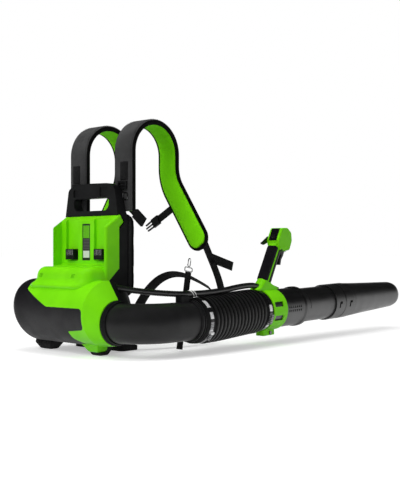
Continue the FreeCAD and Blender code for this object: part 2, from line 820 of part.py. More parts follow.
def build_terminals():
    """Battery terminal blocks with their blade slots, at the foot of each bay."""
    blocks = []
    bottom = s.bay_bottom_z + 19
    for side in (-1, 1):
        x = side * s.channel_pitch / 2
        depth = s.terminal_reach
        base = Part.makeBox(s.terminal_width, depth, s.terminal_height,
                            Vector(x - s.terminal_width / 2, CHANNEL_FLOOR - depth, bottom))
        step = Part.makeBox(s.terminal_width + 2, depth / 2, s.terminal_height,
                            Vector(x - s.terminal_width / 2 - 1, CHANNEL_FLOOR - 2 * depth,
                                   bottom + 16))
        base = base.cut(step)
        for number in range(5):
            slot = Part.makeBox(2, depth, 20, Vector(x - 13 + number * 6, CHANNEL_FLOOR - depth - 2,
                                                     bottom + 12))
            base = base.cut(slot)
        blocks.append(base)
    keep("battery_terminals", as_feature(Part.makeCompound(blocks)))


def handle_outline():
    """Rear view of the carry handle's outer edge."""
    half = s.frame_half_width
    top = s.frame_top + s.handle_height
    return [
        (-half, s.frame_top, 0), (half, s.frame_top, 0), (half - 3, s.frame_top + 14,
                                                          30), (s.handle_top_half_width + 4, top - 14,
                                                              18),
        (s.handle_top_half_width - 24, top - 2, 40), (0, top, 0), (24 - s.handle_top_half_width,
            top - 2, 40),
        (-s.handle_top_half_width - 4, top - 14, 18), (3 - half, s.frame_top + 14, 30),
    ]


def build_carry_handle():
    """Carry handle on the back plate: two legs, a bar and the opening between."""
    body = prism("XZ_Plane", handle_outline(), FRAME_BACK - 2, s.frame_front)
    opening_top = s.frame_top + s.handle_height - s.handle_bar_height
    opening_low = opening_top - s.handle_opening_height
    wide = s.handle_opening_half_width
    hole = prism("XZ_Plane", [(-wide, opening_low, 20), (wide, opening_low, 20), (wide, opening_top, 9),
                              (-wide, opening_top, 9)],
                 FRAME_BACK - 40, s.frame_front + 40)
    top = s.frame_top + s.handle_height + 10
    strap_back = s.strap_arch_y - s.strap_arch_radius - s.soft_gap
    slope = prism("YZ_Plane", [
        (s.frame_front, s.frame_top, 0), (strap_back, s.strap_bottom_z - 2, 0), (s.handle_bar_front,
            s.frame_top + 100, 0),
        (s.handle_bar_front, top, 0), (s.frame_front + 40, top, 0), (s.frame_front + 40, s.frame_top,
            0),
    ], -200, 200)
    tower_room = as_feature(flat_prism(tower_outline(0.2), "YZ", -200, 200))
    recess_left = block("-handle_opening_half_width - 2", "-handle_opening_half_width + 22",
                        str(FRAME_BACK - 6),
                        str(FRAME_BACK + 1.5), str(opening_top + 6), str(opening_top + 27))
    recess_right = block("handle_opening_half_width - 38", "handle_opening_half_width - 2",
                         str(FRAME_BACK - 6),
                         str(FRAME_BACK + 0.5), str(opening_top + 4), str(opening_top + 31))
    legs = []
    for side in (-1, 1):
        x_low, x_high = sorted((side * (wide + 7), side * (s.frame_half_width - 14)))
        legs.append(block(str(x_low), str(x_high), str(FRAME_BACK + 14), str(s.frame_front + 10),
                          str(s.frame_top + 12), str(opening_top - 2)))
    keep("carry_handle", cut(body, hole, slope, tower_room, recess_left, recess_right, *legs))


def build_back_frame():
    """Back plate: a tray open to the rear, round the front of the barrel."""
    half = "frame_half_width"
    back = "frame_front - frame_depth"
    outer = rounded(block(f"-{half}", half, back, "frame_front", "foot_height", "frame_top"), 7.0,
                    runs_along(Vector(0, 0, 1)))
    square_back = block(f"-{half}", half, back, f"{back} + 10", "foot_height", "frame_top")
    room = block(f"-{half} + frame_wall", f"{half} - frame_wall", f"{back} - 2",
                 "frame_front - frame_wall",
                 "foot_height + frame_wall", "frame_top - frame_wall")
    barrel = as_feature(barrel_solid(-0.3))
    tower_room = as_feature(flat_prism(tower_outline(0.2), "YZ", -200, 200))
    posts = []
    for x in (-70, 70):
        for z in (242, 328):
            posts.append(cylinder("4", "12 + frame_wall / 2", str(x), "frame_front - frame_wall - 12",
                                  str(z), "Y"))
    lugs = []
    for low, high in (("frame_half_width - 6", "frame_half_width + 5"),
                      ("-frame_half_width - 5", "-frame_half_width + 6")):
        lugs.append(block(low, high, "frame_front - 14", "frame_front - 3", "66", "104"))
    tray = cut(fuse(outer, square_back), room, barrel, tower_room)
    keep("back_frame", fuse(tray, *posts, *lugs))


def build_front_foot():
    """Broad rubber-soled foot under the back plate."""
    base = rounded(block("-foot_half_length", "foot_half_length", "foot_rear", "foot_front", "0",
                         "foot_height"),
                   14.0, runs_along(Vector(0, 0, 1)))
    slope = prism("YZ_Plane", [(s.frame_front + 4, s.foot_height + 0.01, 0),
                               (s.foot_front + 1, s.foot_height * 0.55, 0),
                               (s.foot_front + 1, s.foot_height + 5, 0), (s.frame_front + 4,
                                   s.foot_height + 5, 0)], -200, 200)
    keep("front_foot", cut(base, slope))


def build_rear_feet():
    """Rubber feet under the barrel; the right one is the sole of the skid too."""
    drum = drum_solid(0)
    feet = []
    for left, right, slope, ahead in ((-148.0, -76.0, 15.0, 11.0), (93.0, 142.0, 9.0, 4.0)):
        middle = s.barrel_axis_y + ahead
        side = [
            (middle - 16, 0, 8), (middle + 12, 0, 5), (middle + 25, 22, 6), (middle + 25, 34, 0),
            (middle - 26, 34, 0), (middle - 26, 18, 12),
        ]
        rear_view = [
            (left + 9, 34, 0), (left, 20, 5), (left + slope, 0, 5),
            (right - slope, 0, 5), (right, 22, 5), (right, 34, 0),
        ]
        foot = flat_prism(side, "YZ", left, right).common(flat_prism(rear_view, "XZ", -300, 0))
        if left > 0:
            skid_room = Part.makeBox(200, 100, 60, Vector(left - 20, PARTING_Y - 100, s.skid_z))
            foot = foot.cut(skid_room)
        for number in range(5):
            x = left + slope + 4 + number * (right - left - 2 * slope - 8) / 4.0
            foot = foot.cut(Part.makeBox(3, 4, 50, Vector(x - 1.5, middle - 28, 2)))
        feet.append(foot.cut(drum))
    keep("rear_feet", as_feature(Part.makeCompound(feet)))


def pad_section(y, inset):
    """One cross-section of the cushion, a rounded rectangle at a given depth."""
    half = PAD_HALF_WIDTH - inset
    low = s.pad_bottom + inset
    high = s.pad_bottom + s.pad_height - inset
    r = s.pad_corner - inset * 0.5
    curves = corner_curves([(-half, low, r), (half, low, r), (half, high, r), (-half, high, r)])
    wire = Part.Wire([curve.toShape() for curve in curves])
    wire.Placement = Placement(Vector(0, y, 0), Rotation(Vector(1, 0, 0), 90))
    return wire


def build_back_pad():
    """Back cushion with a crown, drawn-in sides and sewn channels."""
    back = s.frame_front + s.soft_gap
    depth = s.pad_thickness
    sections = [pad_section(back, 2), pad_section(back + depth * 0.25, 0),
                pad_section(back + depth * 0.6, 0.5),
                pad_section(back + depth * 0.88, 4), pad_section(back + depth, s.pad_crown_inset)]
    cushion = Part.makeLoft(sections, True, True)
    middle = s.pad_bottom + s.pad_height / 2
    front = back + depth + s.pad_channel_radius * 0.3
    for z in (middle - s.pad_height / 6, middle + s.pad_height / 6):
        channel = Part.makeCylinder(s.pad_channel_radius, 2 * PAD_HALF_WIDTH + 20,
                                    Vector(-PAD_HALF_WIDTH - 10, front, z), Vector(1, 0, 0))
        cushion = cushion.cut(channel)
    channel = Part.makeCylinder(s.pad_channel_radius, s.pad_height + 20,
                                Vector(0, front, s.pad_bottom - 10), Vector(0, 0, 1))
    keep("back_pad", as_feature(cushion.cut(channel)))


def build_outlet_and_elbow():
    """Outlet flange on the funnel, and the quarter-turn elbow to the hose."""
    start = FUNNEL_END
    r = s.elbow_radius
    ring = turned([
        (start + 0.2, r + 0.3), (start + 0.2, s.flange_radius), (start + 2,
            s.flange_radius + 2), (start + 8, s.flange_radius + 2),
        (start + 11, s.flange_radius - 1), (start + s.outlet_length,
                                            s.flange_radius - 2.5), (start + s.outlet_length, r + 2.4),
        (start + 3, r + 0.3),
    ], DUCT_AXIS)
    keep("outlet_ring", ring)
    enter = start + 4.0
    bend = s.elbow_x - enter
    centre = Vector(enter, s.barrel_axis_y + bend, s.duct_axis_z)
    ahead = Vector(0, 1, 0)
    skins = []
    for radius in (r, r - s.duct_skin):
        torus = Part.makeTorus(bend, radius, Vector(), Vector(0, 0, 1), 0, 360, 90)
        torus.Placement = Placement(centre, Rotation(Vector(0, 0, 1), -90))
        stub = Part.makeCylinder(radius, s.elbow_end_y - s.barrel_axis_y - bend,
                                 centre + Vector(bend, 0, 0), ahead)
        skins.append(torus.fuse(stub))
    end = Vector(s.elbow_x, s.elbow_end_y, s.duct_axis_z)
    spigot = Part.makeCylinder(s.spigot_radius, s.spigot_length + 12, end - ahead * 12, ahead)
    bead = Part.makeCylinder(s.spigot_radius + 1.8, 4, end - ahead * 9, ahead)
    lip = Part.makeCylinder(s.spigot_radius + 3.4, 3, end - ahead * 1.4, ahead)
    bore = Part.makeCylinder(r - s.duct_skin, s.spigot_length + 40, end - ahead * 20, ahead)
    wide_bore = Part.makeCylinder(s.spigot_radius - s.duct_skin, s.spigot_length + 10, end + ahead * 4,
                                  ahead)
    body = skins[0].fuse([spigot, bead, lip]).cut(skins[1]).cut(bore).cut(wide_bore)
    keep("elbow_duct", as_feature(body.removeSplitter()))


def hose_centre(y):
    """Height and slope of the hose's centre line, from the level elbow to the tilted tube."""
    start = RIB_START
    end = (RIB_END - s.barrel_axis_y) * math.cos(math.radians(s.wand_tilt)) + s.barrel_axis_y
    rise = (RIB_END - s.barrel_axis_y) * math.sin(math.radians(s.wand_tilt)) + s.wand_rise
    slope = math.tan(math.radians(s.wand_tilt)) * (end - start)
    share = min(max((y - start) / (end - start), 0.0), 1.0)
    height = share ** 2 * (3 - 2 * share) * rise + share ** 2 * (share - 1) * slope
    grade = (6 * share * (1 - share) * rise + (3 * share ** 2 - 2 * share) * slope) / (end - start)
    beyond = max(y - end, 0.0) * math.tan(math.radians(s.wand_tilt))
    return s.duct_axis_z + height + beyond, math.degrees(math.atan(grade))


def hose_ring(y, radius):
    """A circle round the hose's centre line, square to it."""
    z, grade = hose_centre(y)
    ring = Part.Wire(Part.Circle(Vector(), Vector(0, 0, 1), radius).toShape())
    ring.Placement = Placement(Vector(s.elbow_x, y, z), Rotation(Vector(1, 0, 0), grade - 90))
    return ring


def hose_part(start, ribs, rear_cuff=0.0, front_cuff=0.0, cuff_bore=0.0):
    """Thin ribbed tube, ruled through four circles a rib, with a thicker cuff at one end."""
    steps = []
    if rear_cuff:
        steps += [(start - rear_cuff, cuff_bore + s.cuff_wall), (start - 3, cuff_bore + s.cuff_wall)]
    for number in range(int(ribs)):
        base = start + number * s.rib_pitch
        steps += [(base, s.hose_root_radius), (base + 0.2 * s.rib_pitch, HOSE_CREST),
                  (base + 0.62 * s.rib_pitch, HOSE_CREST), (base + 0.82 * s.rib_pitch,
                                                            s.hose_root_radius)]
    end = start + ribs * s.rib_pitch
    if front_cuff:
        steps += [(end + 3, cuff_bore + s.cuff_wall), (end + front_cuff, cuff_bore + s.cuff_wall)]
    else:
        steps += [(end, s.hose_root_radius)]
    outside = Part.makeLoft([hose_ring(y, r) for y, r in steps], True, True)
    inside_steps = [(y, r - s.hose_wall) for y, r in steps if start - 0.01 <= y <= end + 0.01]
    inside_steps = [(start - 1 - rear_cuff,
                     s.hose_root_radius - s.hose_wall)] * bool(not rear_cuff) + inside_steps
    if rear_cuff:
        inside_steps = [(start - rear_cuff - 1, cuff_bore), (start - 4, cuff_bore)] + inside_steps
    if front_cuff:
        inside_steps += [(end + 4, cuff_bore), (end + front_cuff + 1, cuff_bore)]
    else:
        inside_steps += [(end + 1, s.hose_root_radius - s.hose_wall)]
    return as_feature(outside.cut(Part.makeLoft([hose_ring(y, r) for y, r in inside_steps], True,
                                                True)))


def hose_clamp(y, radius, screw_turn):
    """Worm-drive band with its screw housing, round the tube's axis at one place."""
    half = s.band_width / 2
    band = Part.makeCylinder(radius + s.band_thickness, s.band_width, Vector(-half, 0, 0),
                             Vector(1, 0, 0)).cut(
        Part.makeCylinder(radius, s.band_width, Vector(-half, 0, 0), Vector(1, 0, 0)))
    saddle = Part.makeBox(s.band_width - 1, 18, 7, Vector(0.5 - half, -9, radius + 0.4))
    screw = Part.makeCylinder(3.6, 24, Vector(0, -12, radius + 5.5), Vector(0, 1, 0))
    head = Part.makeCylinder(5, 5, Vector(0, 12, radius + 5.5), Vector(0, 1, 0))
    slot = Part.makeBox(1.2, 3, 12, Vector(-0.6, 15, radius - 0.5))
    housing = saddle.fuse([screw, head]).cut(slot)
    housing = housing.cut(Part.makeCylinder(radius, 60, Vector(-30, 0, 0), Vector(1, 0, 0)))
    made = as_feature(band.fuse(housing).removeSplitter())
    turn = ALONG_Y.multiply(Rotation(Vector(1, 0, 0), screw_turn))
    made.Placement = Placement(Vector(s.elbow_x, y, s.duct_axis_z), turn)
    return made


def build_hose():
    """Ribbed hose in three lengths, with a worm-drive clamp on each cuff."""
    rear_bore = s.spigot_radius + s.cuff_gap
    front_bore = s.tube_radius - 3.5 + s.cuff_gap
    keep("hose_rear", hose_part(RIB_START, s.ribs_rear, rear_cuff=s.cuff_length, cuff_bore=rear_bore))
    keep("hose_mid", hose_part(RIBS_MID_START, s.ribs_mid))
    keep("hose_front", hose_part(RIBS_FRONT_START, s.ribs_front, front_cuff=s.cuff_length - 6,
                                 cuff_bore=front_bore))
    keep("rear_clamp", hose_clamp(CUFF_START + 20, rear_bore + s.cuff_wall, 128))
    keep("front_clamp", hose_clamp(RIB_END + 20, front_bore + s.cuff_wall, 112), WAND)


def build_tubes():
    """Rear tube, the tube that telescopes in it, and the nozzle."""
    r = s.tube_radius
    wall = s.tube_wall
    spigot = r - 3.5
    end = s.tube_end_y
    rear = on_tube([
        (RIB_END + 6, spigot - wall), (RIB_END + 6, spigot), (COLLAR_START, spigot), (COLLAR_START,
            r), (end - s.tube_rim_length - 6, r),
        (end - s.tube_rim_length, r + s.tube_rim_height), (end - 2, r + s.tube_rim_height), (end,
            r + 1), (end, INNER_TUBE_RADIUS + s.slide_gap),
        (end - 6, INNER_TUBE_RADIUS + s.slide_gap), (end - 10, r - wall), (COLLAR_START + 10,
            r - wall), (COLLAR_START, spigot - wall),
    ])
    notches = []
    for number in range(7):
        y = COLLAR_START + s.collar_length + 14 + number * 10.0
        for z in (-4.5, 4.5):
            notches.append(block("elbow_x + tube_radius - 0.9", "elbow_x + tube_radius + 3", str(y),
                                 str(y + 6.5),
                                 f"duct_axis_z + {z} - 2.8", f"duct_axis_z + {z} + 2.8"))
    keep("rear_tube", cut(rear, *notches), WAND)
    inner = INNER_TUBE_RADIUS
    start = INNER_TUBE_START
    tip = INNER_TUBE_END
    front = on_tube([
        (start, inner - wall), (start, inner + s.slide_gap - 0.1), (start + 6,
            inner + s.slide_gap - 0.1), (start + 8, inner), (tip, inner),
        (tip, inner - wall),
    ])
    ring_place = Vector(s.elbow_x, end + 16, s.duct_axis_z)
    slot_ring = Part.makeCylinder(inner + 2, 5, ring_place, Vector(0, 1, 0)).cut(
        Part.makeCylinder(inner - 0.9, 5, ring_place, Vector(0, 1, 0)))
    slot_ring = slot_ring.common(Part.makeBox(80, 40, 66, Vector(s.elbow_x, end + 5,
        s.duct_axis_z - 6)))
    peg = Part.makeCylinder(s.peg_radius, 5, Vector(s.elbow_x + inner - 5, NOZZLE_START + PEG_SETBACK,
                                                    s.duct_axis_z - 1), Vector(1, 0, 0))
    keep("front_tube", fuse(cut(front, as_feature(slot_ring)), as_feature(peg)), WAND)
    sleeve = inner + s.slide_gap
    start = NOZZLE_START
    long = s.nozzle_length
    tip_r = INNER_TUBE_RADIUS - s.nozzle_taper
    outer = sleeve + 2.6
    raised = outer + s.nozzle_rim_height
    nozzle = on_tube([
        (start, sleeve), (start, raised), (start + 46, raised), (start + 49, outer),
        (start + 57, outer), (start + 60, raised), (start + 107, raised), (start + 110, outer),
        (start + s.nozzle_overlap + 12, outer), (start + 202, sleeve - 1),
        (start + long - 14, tip_r + 0.4), (start + long, tip_r - 2), (start + long, tip_r - 4),
        (start + long - 14, tip_r - wall), (start + 202, sleeve - 1 - wall),
        (start + s.nozzle_overlap + 14, outer - wall), (start + s.nozzle_overlap + 4, sleeve),
    ])
    recesses = []
    for y in (start + PEG_SETBACK, start + PEG_SETBACK + 62):
        for low_y, high_y, low_z, high_z in ((y - 3.5, y + 3.5, -18, 3), (y - 3.5, y + 13, -4.5, 3)):
            slot = Part.makeBox(20, high_y - low_y, high_z - low_z,
                                Vector(s.elbow_x + sleeve - 12, low_y, s.duct_axis_z + low_z))
            recesses.append(as_feature(slot))
    keep("nozzle", cut(nozzle, *recesses), WAND)


# How far along the leaning stem it leaves its flared foot, and where its rubber runs
STEM_FOOT = 32.0
GRIP_RUN = (27.0, 147.0)


def stem_point(along, ahead=0.0):
    """A point of the leaning handle, in its middle plane."""
    lean = math.radians(s.stem_lean)
    y = COLLAR_START + 17.5 + along * math.sin(lean) + ahead * math.cos(lean)
    z = s.duct_axis_z + s.tube_radius + along * math.cos(lean) - ahead * math.sin(lean)
    return y, z


def stem_ring(along, ahead_low, ahead_high, width, corner, level=None):
    """A rounded section of the stem, square to its axis or lying level."""
    half = width / 2
    curves = corner_curves([(-half, ahead_low, corner), (half, ahead_low, corner),
                            (half, ahead_high, corner), (-half, ahead_high, corner)])
    ring = Part.Wire([curve.toShape() for curve in curves])
    if level is not None:
        ring.Placement = Placement(Vector(s.elbow_x, 0, level), Rotation())
        return ring
    y, z = stem_point(along)
    ring.Placement = Placement(Vector(s.elbow_x, y, z), Rotation(Vector(1, 0, 0), -s.stem_lean))
    return ring


def head_outline():
    """Side view of the handle's head, with the sloping rear face."""
    corners = [(-16, 152, 6), (-23, 162, 6), (-23.5, 204, 8), (4.5, 220, 14), (28, 216, 12),
               (43, 194, 16), (45, 163, 8),
               (24, 148, 6), (0, 140, 4)]
    return [(*stem_point(along, ahead), radius) for ahead, along, radius in corners]


def handle_solid(inset):
    """The handle's flared foot, stem and head as one solid, inset for its hollow."""
    half = s.stem_depth / 2 - inset
    width = s.stem_width - 2 * inset
    corner = 12 - inset
    foot = s.duct_axis_z + s.tube_radius
    rings = [
        stem_ring(0, COLLAR_START - 24 + inset, COLLAR_START + 94 - inset, width + 4, corner,
                  foot - 10),
        stem_ring(0, COLLAR_START - 22 + inset, COLLAR_START + 90 - inset, width + 3, corner,
                  foot + 6 - inset),
        stem_ring(0, COLLAR_START - 6 + inset, COLLAR_START + 66 - inset, width + 1, corner,
                  foot + 14 - inset),
        stem_ring(STEM_FOOT, -half - 1, half + 2, width, corner),
    ]
    base = Part.makeLoft(rings, True, True)
    straight = Part.makeLoft([stem_ring(STEM_FOOT, -half - 1, half + 2, width, corner),
                              stem_ring(160, -half, half, width, corner)], True, True)
    head_half = s.head_width / 2 - inset
    x = s.elbow_x
    head = flat_prism(head_outline(), "YZ", x - head_half, x + head_half)
    if inset == 0:
        head = head.makeFillet(5, [edge for edge in head.Edges if edge.BoundBox.XLength < 0.01])
    else:
        middle = Vector(x, *stem_point(180, 12))
        shrink = FreeCAD.Matrix()
        shrink.move(-middle)
        shrink.scale(1, 1 - 2 * inset / 66, 1 - 2 * inset / 76)
        shrink.move(middle)
        head = head.transformGeometry(shrink)
    return base.fuse([straight, head])


def collar_ring():
    """The collar's plain ring round the rear tube."""
    axis = Vector(0, 1, 0)
    start = Vector(s.elbow_x, COLLAR_START + 1, s.duct_axis_z)
    inner = s.tube_radius + s.collar_gap
    outer = Part.makeCylinder(inner + s.collar_wall, s.collar_length, start, axis)
    return outer.cut(Part.makeCylinder(inner, s.collar_length, start, axis))


def build_handle():
    """Control handle: collar, two shells, rubber grip, and what the hand works."""
    x = s.elbow_x
    tube_room = Part.makeCylinder(s.tube_radius + s.collar_gap + s.collar_wall, 400,
                                  Vector(x, 200, s.duct_axis_z), Vector(0, 1, 0))
    ring = collar_ring()
    reach = s.tube_radius + s.collar_gap + s.collar_wall
    lug = Part.makeBox(30, s.collar_length - 8, 19, Vector(x - 15, COLLAR_START + 5,
                                                           s.duct_axis_z - reach - 14))
    lug = lug.makeFillet(5, [edge for edge in lug.Edges if runs_along(Vector(0, 0, 1))(edge)])
    lug = lug.cut(Part.makeCylinder(s.tube_radius + s.collar_gap, 400, Vector(x, 200, s.duct_axis_z),
                                    Vector(0, 1, 0)))
    slit = Part.makeBox(3, 200, 30, Vector(x - 1.5, COLLAR_START - 50, s.duct_axis_z - reach - 20))
    windows = []
    for z in (-22, 19):
        window = Part.makeBox(30, 42, 15, Vector(x + 45, COLLAR_START + 8, s.duct_axis_z + z - 7.5))
        windows.append(window.makeFillet(3,
                                         [edge for edge in window.Edges if runs_along(Vector(1, 0,
                                             0))(edge)]))
    screw_y = COLLAR_START + 38
    screw_z = s.duct_axis_z - reach - 6
    screw_hole = Part.makeCylinder(3.1, 60, Vector(x - 30, screw_y, screw_z), Vector(1, 0, 0))
    collar = ring.fuse(lug).cut(slit).cut(screw_hole)
    for window in windows:
        collar = collar.cut(window)
    whole = handle_solid(0).cut(tube_room).cut(handle_solid(s.shell_wall))
    level_route = [WAND.inverse().multVec(point) for point in conduit_routes()[2][2:]]
    level_route[-1] += (level_route[-1] - level_route[-2]) * 0.05
    whole = whole.cut(route_room(level_route))
    keep("handle_collar", as_feature(collar.removeSplitter()), WAND)
    screw = Part.makeCylinder(3, 36, Vector(x - 18, screw_y, screw_z), Vector(1, 0, 0)).fuse(
        Part.makeCylinder(5.5, 4, Vector(x + 15.2, screw_y, screw_z), Vector(1, 0, 0)))
    keep("collar_screw", as_feature(screw), WAND)
    pivot = stem_point(152, 32)
    slot_outline = [(*stem_point(104, 6), 0), (*stem_point(104, 60), 0), (*stem_point(148, 60), 0),
                    (*stem_point(160, 46), 0),
                    (*stem_point(162, 20), 0), (*stem_point(150, 6), 0)]
    trigger_slot = flat_prism(slot_outline, "YZ", x - s.trigger_width / 2 - 0.5,
                              x + s.trigger_width / 2 + 0.5)
    grip = grip_solid()
    face_room = flat_prism(face_outline(0.2), "YZ", x - 15.2, x + 15.2)
    pin_hole = Part.makeCylinder(s.pin_radius, 60, Vector(x - 30, *pivot), Vector(1, 0, 0))
    lever_pivot = stem_point(170, -13)
    lever_hole = Part.makeCylinder(4 + s.pin_clearance, 40, Vector(x - 40, *lever_pivot),
                                   Vector(1, 0, 0))
    body = whole.cut(trigger_slot).cut(grip).cut(face_room).cut(pin_hole).cut(lever_hole)
    left_half = Part.makeBox(100, 400, 400, Vector(x - 100, 300, 100))
    keep("handle_shell_left", as_feature(body.common(left_half)), WAND)
    keep("handle_shell_right", as_feature(body.cut(left_half)), WAND)
    keep("grip_sleeve", as_feature(grip.cut(handle_core())), WAND)
    build_controls(pivot, lever_pivot)


def grip_solid():
    """Band of soft rubber round the rear of the stem."""
    x = s.elbow_x
    half = s.stem_depth / 2 + 1.6
    low, high = GRIP_RUN
    outline = [
        (*stem_point(low, -half), 6), (*stem_point(low, 11), 3),
        (*stem_point(high, 11), 3), (*stem_point(high, -half), 6),
    ]
    band = flat_prism(outline, "YZ", x - s.stem_width / 2 - 1.2, x + s.stem_width / 2 + 1.2)
    along = Vector(0, *stem_point(1)) - Vector(0, *stem_point(0))
    lengthwise = [edge for edge in band.Edges if runs_along(along)(edge)]
    rear = [edge for edge in lengthwise if edge.CenterOfMass.y < stem_point(91, 0)[0]]
    return band.makeFillet(8, rear)


def handle_core():
    """What the rubber is moulded round."""
    x = s.elbow_x
    half = s.stem_depth / 2 - s.grip_thickness
    low, high = GRIP_RUN[0] - 6, GRIP_RUN[1] + 6
    outline = [
        (*stem_point(low, -half), 0), (*stem_point(low, 20), 0),
        (*stem_point(high, 20), 0), (*stem_point(high, -half), 0),
    ]
    core_half = s.stem_width / 2 - s.grip_thickness
    return flat_prism(outline, "YZ", x - core_half, x + core_half)


def face_outline(gap):
    """The control face let into the head's sloping rear-top side."""
    return [(*stem_point(161 - gap, -40), 0), (*stem_point(203 + gap, -40), 0),
            (*stem_point(203 + gap, -17 + gap), 0),
            (*stem_point(161 - gap, -17 + gap), 0)]


def build_controls(pivot, lever_pivot):
    """Display window, boost button, trigger with pin and spring, and cruise lever."""
    x = s.elbow_x
    shell = handle_solid(0)
    face = flat_prism(face_outline(0), "YZ", x - 15, x + 15).common(shell)
    outward = Vector(0, *stem_point(0, -1)) - Vector(0, *stem_point(0, 0))
    button_spot = Vector(x, *stem_point(174, -17))
    reach = 8.2
    button = Part.makeCylinder(6.5, reach, button_spot, outward)
    bore = Part.makeCylinder(6.5 + 0.3, 30, button_spot - outward * 2, outward)
    keep("display_window", as_feature(face.cut(bore).removeSplitter()), WAND)
    top = button_spot + outward * reach
    button = button.makeFillet(1.4,
                               [edge for edge in button.Edges if (edge.CenterOfMass - top).Length < 0.1])
    keep("boost_button", as_feature(button), WAND)
    corners = [(26, 158, 4), (40, 158, 5), (41, 140, 6), (38, 126, 14), (43, 109, 3), (37, 107, 2),
               (32, 124, 14), (33, 140, 5), (25, 146, 3)]
    blade_outline = [(*stem_point(along, ahead), radius) for ahead, along, radius in corners]
    half = s.trigger_width / 2
    trigger = flat_prism(blade_outline, "YZ", x - half, x + half)
    trigger = trigger.cut(Part.makeCylinder(s.pin_radius + s.pin_clearance, 60, Vector(x - 30, *pivot),
                                            Vector(1, 0, 0)))
    keep("trigger", as_feature(trigger), WAND)
    pin = Part.makeCylinder(s.pin_radius, s.head_width - 8, Vector(x - s.head_width / 2 + 4, *pivot),
                            Vector(1, 0, 0))
    keep("trigger_pin", as_feature(pin), WAND)
    corners = [(-8, 177, 3), (-6, 166, 4), (-29, 141, 3), (-38, 146, 3), (-20, 177, 3)]
    plate = [(*stem_point(along, ahead), radius) for ahead, along, radius in corners]
    face_x = x - s.head_width / 2 - 0.3
    lever = flat_prism(plate, "YZ", face_x - s.lever_thickness, face_x)
    axle = Part.makeCylinder(4, 9, Vector(face_x - 1, *lever_pivot), Vector(1, 0, 0))
    tip = stem_point(146, -32)
    thumb = Part.makeBox(8, 10, 7, Vector(face_x - s.lever_thickness - 4, tip[0] - 5, tip[1] - 3.5))
    thumb = thumb.makeFillet(2, thumb.Edges)
    keep("cruise_lever", as_feature(lever.fuse([axle, thumb]).removeSplitter()), WAND)


def conduit_routes():
    """Route points of the conduit's three lengths, and the height of its level run."""
    x = s.elbow_x
    wall = s.frame_half_width + 0.2
    crest = s.duct_axis_z + HOSE_CREST + s.conduit_radius + 0.3
    split_rear = RIB_START - 2
    split_mid = (RIBS_MID_START + RIBS_FRONT_START) / 2
    rear_grade = Vector(0, split_mid - split_rear, hose_centre(split_mid)[0] - s.duct_axis_z + 1.5)
    rear_grade.normalize()
    joint_rear = Vector(x, split_rear, crest)
    joint_mid = joint_rear + rear_grade * (split_mid - split_rear)
    rear = [Vector(wall, -99, 187), Vector(144, -98, 184.5), Vector(201, -66, 175.5),
            Vector(246, -20, 169), Vector(x, 36, crest - 0.5),
            joint_rear - rear_grade * 22, joint_rear]
    end = WAND.multVec(Vector(x, COLLAR_START - 1.5, s.duct_axis_z + s.tube_radius + 14))
    before = WAND.multVec(Vector(x, COLLAR_START - 14, s.duct_axis_z + s.tube_radius + 16))
    high = Vector(x, 302, joint_mid.z + 76 * rear_grade.z + 4)
    over = Vector(x, 332, high.z + 0.5)
    front = [joint_mid, joint_mid + rear_grade * 30, high, over, before, end]
    return rear, [joint_rear, joint_mid], front, crest


def route_room(points):
    """The space that the conduit needs along its route."""
    circle = Part.Circle(points[0], points[1] - points[0], s.conduit_radius + 0.3)
    return path_wire(points, easy_radii(points)).makePipeShell([Part.Wire(circle.toShape())], True,
        False)


def build_conduit():
    """Cable conduit from the housing over the elbow and the hose to the collar."""
    r = s.conduit_radius
    x = s.elbow_x
    rear, middle, front, crest = conduit_routes()
    keep("conduit_rear", as_feature(round_tube("conduit_rear", rear, r)))
    run = middle[1] - middle[0]
    keep("conduit_mid", as_feature(Part.makeCylinder(r, run.Length, middle[0], run)))
    keep("conduit_front", as_feature(round_tube("conduit_front", front, r)))
    top = crest - 0.5
    base = s.duct_axis_z + s.elbow_radius
    saddle = Part.makeBox(24, 34, top - r + 4 - base + 2, Vector(x - 12, 12, base - 2))
    saddle = saddle.makeFillet(4, [edge for edge in saddle.Edges if runs_along(Vector(0, 0, 1))(edge)])
    saddle = saddle.cut(Part.makeCylinder(s.elbow_radius, 200, Vector(x, -60, s.duct_axis_z),
                                          Vector(0, 1, 0)))
    saddle = saddle.cut(route_room(rear))
    keep("conduit_saddle", as_feature(saddle))
    ties = []
    for y in (55.5, 62.5):
        band = Part.makeCylinder(r + s.tie_thickness, s.tie_width, Vector(), Vector(0, 0, 1)).cut(
            Part.makeCylinder(r + 0.1, s.tie_width, Vector(), Vector(0, 0, 1)))
        lock = Part.makeBox(6, 5, s.tie_width + 1, Vector(-3, r + 0.3, -0.5))
        tie = band.fuse(lock)
        share = (y + s.tie_width / 2 - rear[-3].y) / (rear[-2].y - rear[-3].y)
        height = rear[-3].z + share * (rear[-2].z - rear[-3].z)
        tie.Placement = Placement(Vector(x, y, height), Rotation(Vector(1, 0, 0), -90))
        tie.rotate(Vector(x, y, height), Vector(1, 0, 0), 180)
        tie.translate(Vector(0, s.tie_width, 0))
        ties.append(tie)
    keep("cable_ties", as_feature(Part.makeCompound(ties)))


